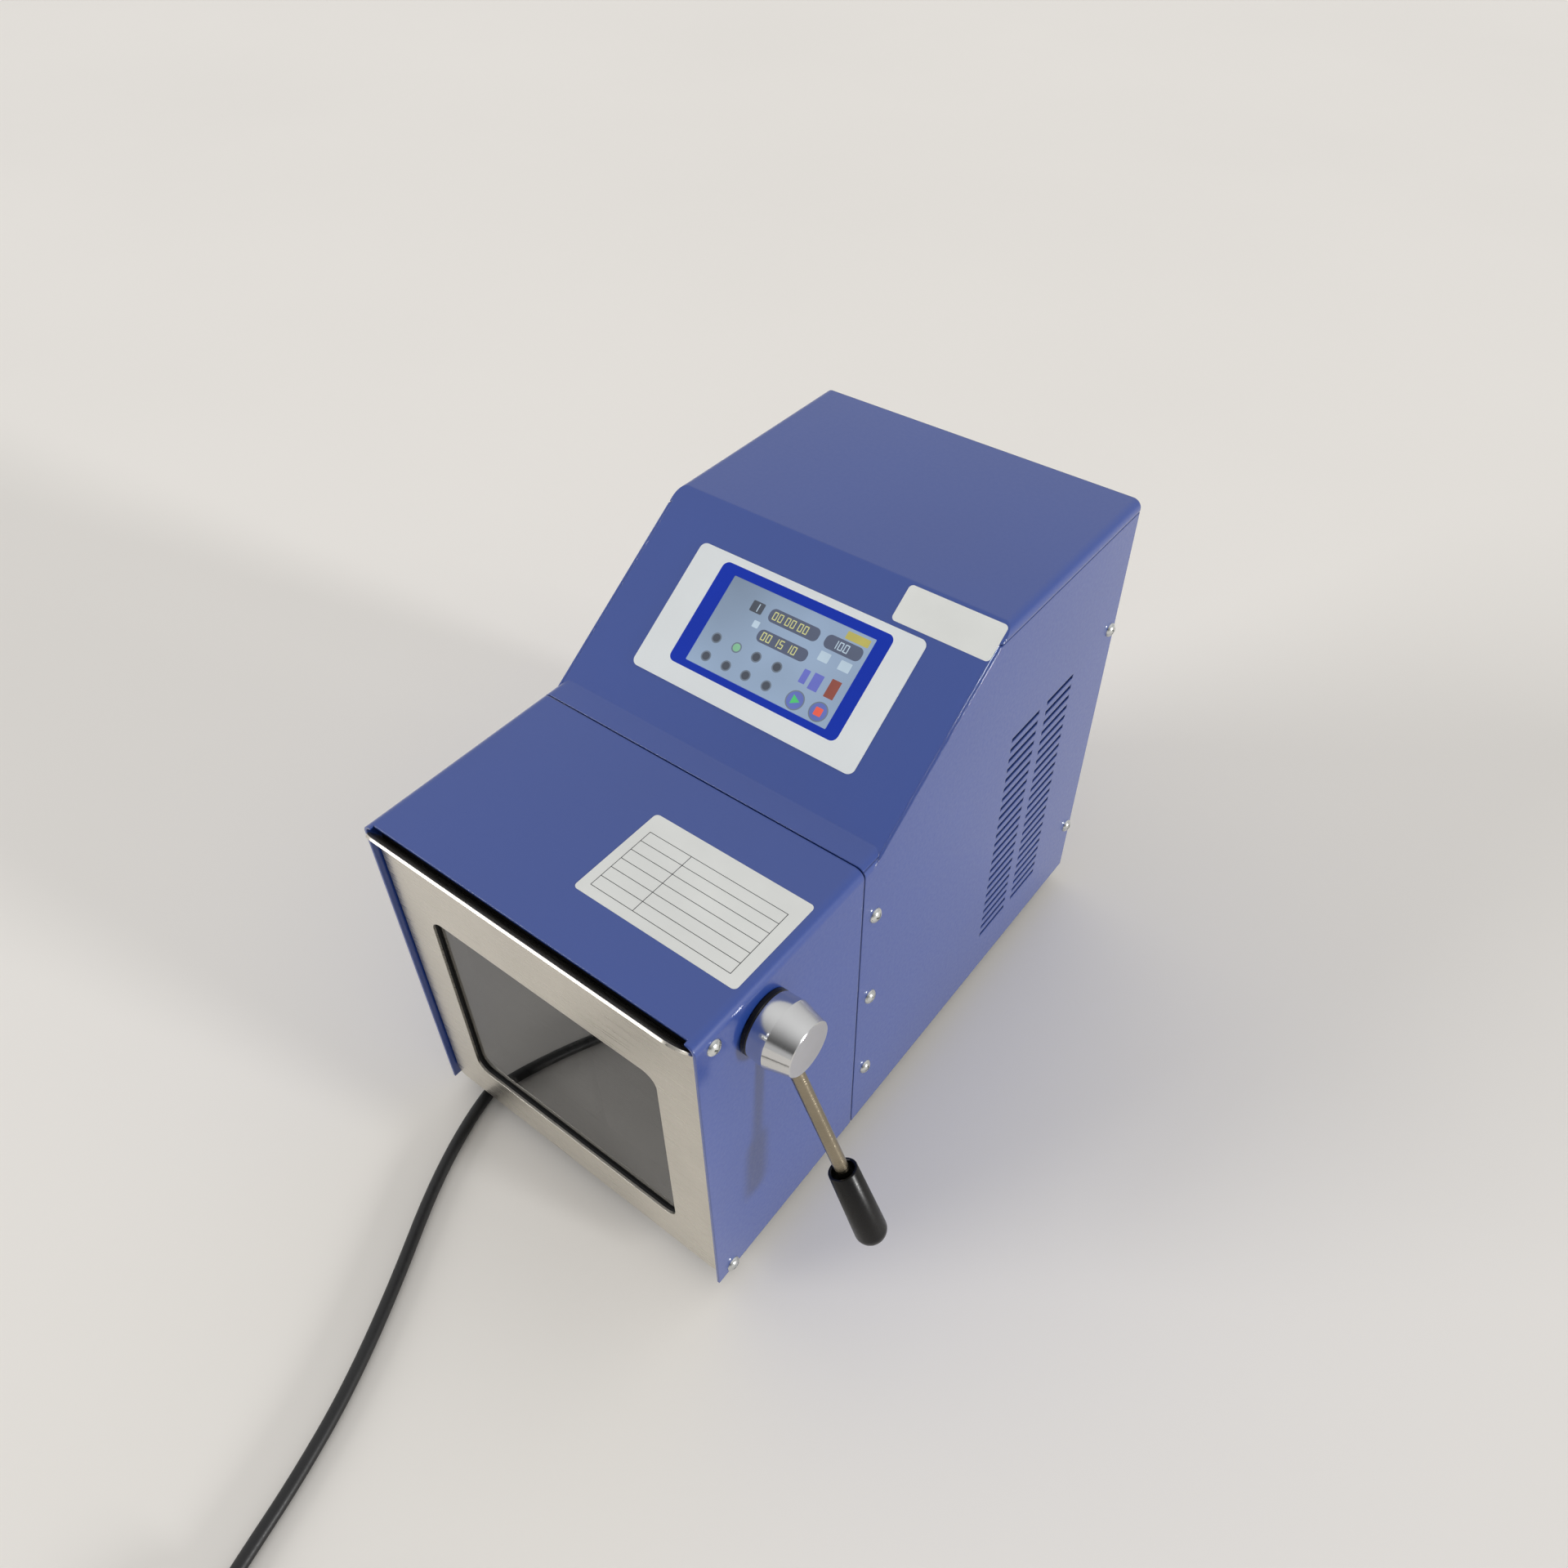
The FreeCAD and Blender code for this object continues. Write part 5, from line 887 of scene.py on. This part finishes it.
LEVER = at(CASE_WIDTH, 43.5, 203.5)
ROD_OUT = 7.6
ROD_TILT = math.radians(25)
ROD_RADIUS = 3.75
GRIP_START, GRIP_END = 95.5, 147.5
GRIP_RADIUS, GRIP_TIP = 8.75, 7.5
down_rod = Vector((math.sin(ROD_TILT), 0, -math.cos(ROD_TILT)))
hub_metal = turned_metal("hub_metal", srgb(214, 214, 214), LEVER, X, (0.1, 0.2), 10)
rod_steel = turned_metal("rod_steel", srgb(148, 138, 119), LEVER + X * ROD_OUT * MM, down_rod, (0.2, 0.3),
                         70)


def make_lever():
    """The turned hub on a black washer, the rod, and the grip with a socket round the rod. The washer's
    black is partly painted shade, for the dark gap between hub and panel.
    """
    hub_stand = axes(LEVER, Y, Z)
    profile = [(-14.8, 0.01), (-14.8, 10), (3.2, 10), (3.2, 17.2), (3.6, 17.6), (12.9, 18.1), (13.3, 17.95),
               (26.1, 14.75), (26.5, 14.3), (26.5, 0.01)]
    hub = Piece("lever_knob").add(lathe(profile), hub_metal, hub_stand)
    # A washer in black plastic; its black also paints the shade and dark mirror image of the gap between
    # hub and panel.
    washer_and_gap_shade = [(0.3, 10), (0.3, 17.4), (0.6, 17.7), (2.8, 17.7), (3.2, 17.3), (3.2, 10)]
    hub.add(lathe(washer_and_gap_shade), grip_plastic, hub_stand)
    hub.make("lever", "polished", "lever_hub", sharp=12)
    rod_stand = axes(LEVER + X * ROD_OUT * MM, Y, down_rod.cross(Y))
    rod = Piece("lever_bar").add(lathe([(8.5, ROD_RADIUS), (135, ROD_RADIUS)], 64), rod_steel, rod_stand)
    rod.make("lever", "polished", "lever_rod")
    outside = [(GRIP_START + 6, ROD_RADIUS + 0.01), (GRIP_START + 6, 6.2), (GRIP_START + 0.4, 6.2),
               (GRIP_START, 6.6), (GRIP_START, 7.5), (GRIP_START + 0.4, 7.8)]
    outside += arc_profile((GRIP_END - GRIP_TIP, GRIP_RADIUS - GRIP_TIP), GRIP_TIP, 0, 86, 10)
    outside += [(GRIP_END, 0.01)]
    grip = Piece("lever_handle").add(lathe(outside, 80), grip_plastic, rod_stand)
    grip.make("lever", "black_plastic", "lever_grip", sharp=40)


make_lever()


# Printed films, display and labels

FILM = 0.5
SCREEN_BOX = (64.2, 40.5, 158.9, 94.2)
SCREEN_CORNER = 0.6
SCREEN_BACK, SCREEN_FACE = -1.5, 0.25
INK = 0.02


def make_films():
    """The white film on the slope and the blue rim round the display."""
    outer = rounded(34.8, 25, 184.6, 104.4, 4)
    rim_outside = rounded(54.1, 36.3, 167.4, 99.8, 4)
    screen_edge = rounded(*SCREEN_BOX, SCREEN_CORNER)
    film = Piece("overlay_film").add(frame_shape(outer, rim_outside, 0, FILM), white_film, SLOPE_FACE)
    film.make("casing", "overlay", "screen_overlay")
    rim = Piece("overlay_rim").add(frame_shape(rim_outside, screen_edge, 0, FILM), blue_film, SLOPE_FACE)
    rim.make("casing", "frame_blue", "screen_frame")


def make_display():
    """The lit display: a pale ground with lamps, fields, buttons and bars, and plain numbers only."""
    ground = lit("display_ground", srgb(150, 172, 200), 0.62, 25)
    dim_corner(ground, SLOPE_FACE @ Vector((SCREEN_BOX[0], SCREEN_BOX[3], 0)), 0.52, 0.055)
    field = lit("display_field", srgb(84, 94, 120), 0.55)
    dark = lit("display_dark", srgb(70, 78, 92), 0.5)
    ring_grey = lit("display_ring", srgb(116, 130, 148), 0.5)
    green = lit("display_green", srgb(70, 190, 110), 0.7)
    lamp_green = lit("display_lamp", srgb(130, 190, 150), 0.65)
    disc = lit("display_disc", srgb(96, 112, 190), 0.6)
    red = lit("display_red", srgb(235, 90, 70), 0.7)
    violet = lit("display_violet", srgb(104, 112, 205), 0.6)
    brown = lit("display_brown", srgb(150, 72, 58), 0.55)
    yellow = lit("display_yellow", srgb(190, 180, 90), 0.6)
    pale = lit("display_pale", srgb(186, 206, 222), 0.65)
    digits = lit("display_digits", srgb(206, 206, 140), 0.7)
    screen = Piece("display")
    edge = rounded(*SCREEN_BOX, SCREEN_CORNER)
    screen.add(prism(edge, SCREEN_BACK, SCREEN_FACE), ground, SLOPE_FACE)

    def mark(points, material, layer=1):
        low = SCREEN_FACE + INK * (layer - 1)
        screen.add(prism(points, low, low + INK), material, SLOPE_FACE)

    for row, height in enumerate((58.5, 47)):
        for column, x in enumerate((74.5, 88.5, 102, 116)):
            lit_one = row == 0 and column == 1
            mark(circle(x, height, 3.1), ring_grey)
            mark(circle(x, height, 2.3), lamp_green if lit_one else dark, 2)
    mark(rounded(83, 80, 91, 86.5, 0.8), dark)
    mark(rounded(95.5, 79, 128.5, 87, 3.2), field)
    mark(rounded(95.5, 66.5, 128.5, 74, 3.2), field)
    mark(rounded(132.5, 79, 156, 87, 3.2), field)
    mark(rounded(142, 88, 156.5, 92.5, 0.5), yellow)
    mark(rounded(89.5, 72.5, 93.5, 76.5, 0.5), pale)
    mark(rounded(134, 71.5, 140.5, 77, 0.4), pale)
    mark(rounded(147, 71.5, 154, 77, 0.4), pale)
    mark(rounded(131, 56.5, 135, 64.5, 0.3), violet)
    mark(rounded(137.5, 55.5, 143.5, 65, 0.3), violet)
    mark(rounded(148, 55.5, 154, 66, 0.3), brown)
    for x in (135.2, 150.3):
        mark(circle(x, 47, 5.6), ring_grey)
        mark(circle(x, 47, 4.9), disc, 2)
    mark([(133.2, 44.3), (138.2, 47), (133.2, 49.7)], green, 3)
    mark(rounded(148, 44.7, 152.6, 49.3, 0.5), red, 3)
    draw_number("1", 85.6, 81.1, mark, pale)
    draw_number("00 00 00", 98.4, 80.9, mark, digits)
    draw_number("00 15 10", 98.4, 68.2, mark, digits)
    draw_number("10.0", 138, 80.9, mark, pale)
    screen.make("casing", "screen", "touch_screen")


# The strokes of a seven-segment digit, from point to point, and the strokes of each digit in use
SEGMENTS = {
    "a": ((0, 2), (1, 2)), "b": ((1, 1), (1, 2)), "c": ((1, 0), (1, 1)), "d": ((0, 0), (1, 0)),
    "e": ((0, 0), (0, 1)), "f": ((0, 1), (0, 2)), "g": ((0, 1), (1, 1)),
}
DIGITS = {"0": "abcdef", "1": "bc", "5": "acdfg"}
DIGIT_HEIGHT = 4.2


def draw_number(text, left, low, mark, material):
    """Plain seven-segment numbers."""
    half = DIGIT_HEIGHT / 2
    wide = DIGIT_HEIGHT * 0.5
    stroke = DIGIT_HEIGHT * 0.07
    for letter in text:
        if letter == ".":
            mark(circle(left - wide * 0.25, low + stroke, stroke * 1.2, 10), material, 2)
            continue
        for name in DIGITS.get(letter, ""):
            (x0, y0), (x1, y1) = SEGMENTS[name]
            start = (left + x0 * wide, low + y0 * half)
            stop = (left + x1 * wide, low + y1 * half)
            mark(rounded(min(start[0], stop[0]) - stroke, min(start[1], stop[1]) - stroke,
                         max(start[0], stop[0]) + stroke, max(start[1], stop[1]) + stroke, stroke * 0.8, 2),
                 material, 2)
        left += wide * (1.7 if letter != " " else 0.6)


LABEL_THICK = 0.2
LABEL_CORNER = 2.5
LINE = 0.35
TABLE_LOW, TABLE_HEIGHT, TABLE_ROWS = 38, 42.5, 6
TABLE_COLUMNS = (120, 147, 206.5)


def make_labels():
    """Two bare stickers: an empty table on the chamber, a plain plate on the slope."""
    label = Piece("chamber_label")
    outline = rounded(114, 32, 214, 92, LABEL_CORNER)
    label.add(prism(outline, 0, LABEL_THICK), label_film, TOP_FACE)
    rows = [TABLE_LOW + TABLE_HEIGHT * step / TABLE_ROWS for step in range(TABLE_ROWS + 1)]
    strokes = [(TABLE_COLUMNS[0], row, TABLE_COLUMNS[-1], row) for row in rows]
    strokes += [(column, rows[0], column, rows[-1]) for column in TABLE_COLUMNS]
    for x0, y0, x1, y1 in strokes:
        line = rounded(x0 - LINE / 2, y0 - LINE / 2, x1 + LINE / 2, y1 + LINE / 2, LINE / 4, 1)
        label.add(prism(line, LABEL_THICK, LABEL_THICK + INK), print_ink, TOP_FACE)
    label.make("casing", "overlay")
    plate = Piece("slope_plate")
    outline = rounded(159.3, 107.2, 218, 128.6, LABEL_CORNER)
    plate.add(prism(outline, 0, LABEL_THICK), label_film, SLOPE_FACE)
    plate.make("casing", "overlay")


make_films()
make_display()
make_labels()
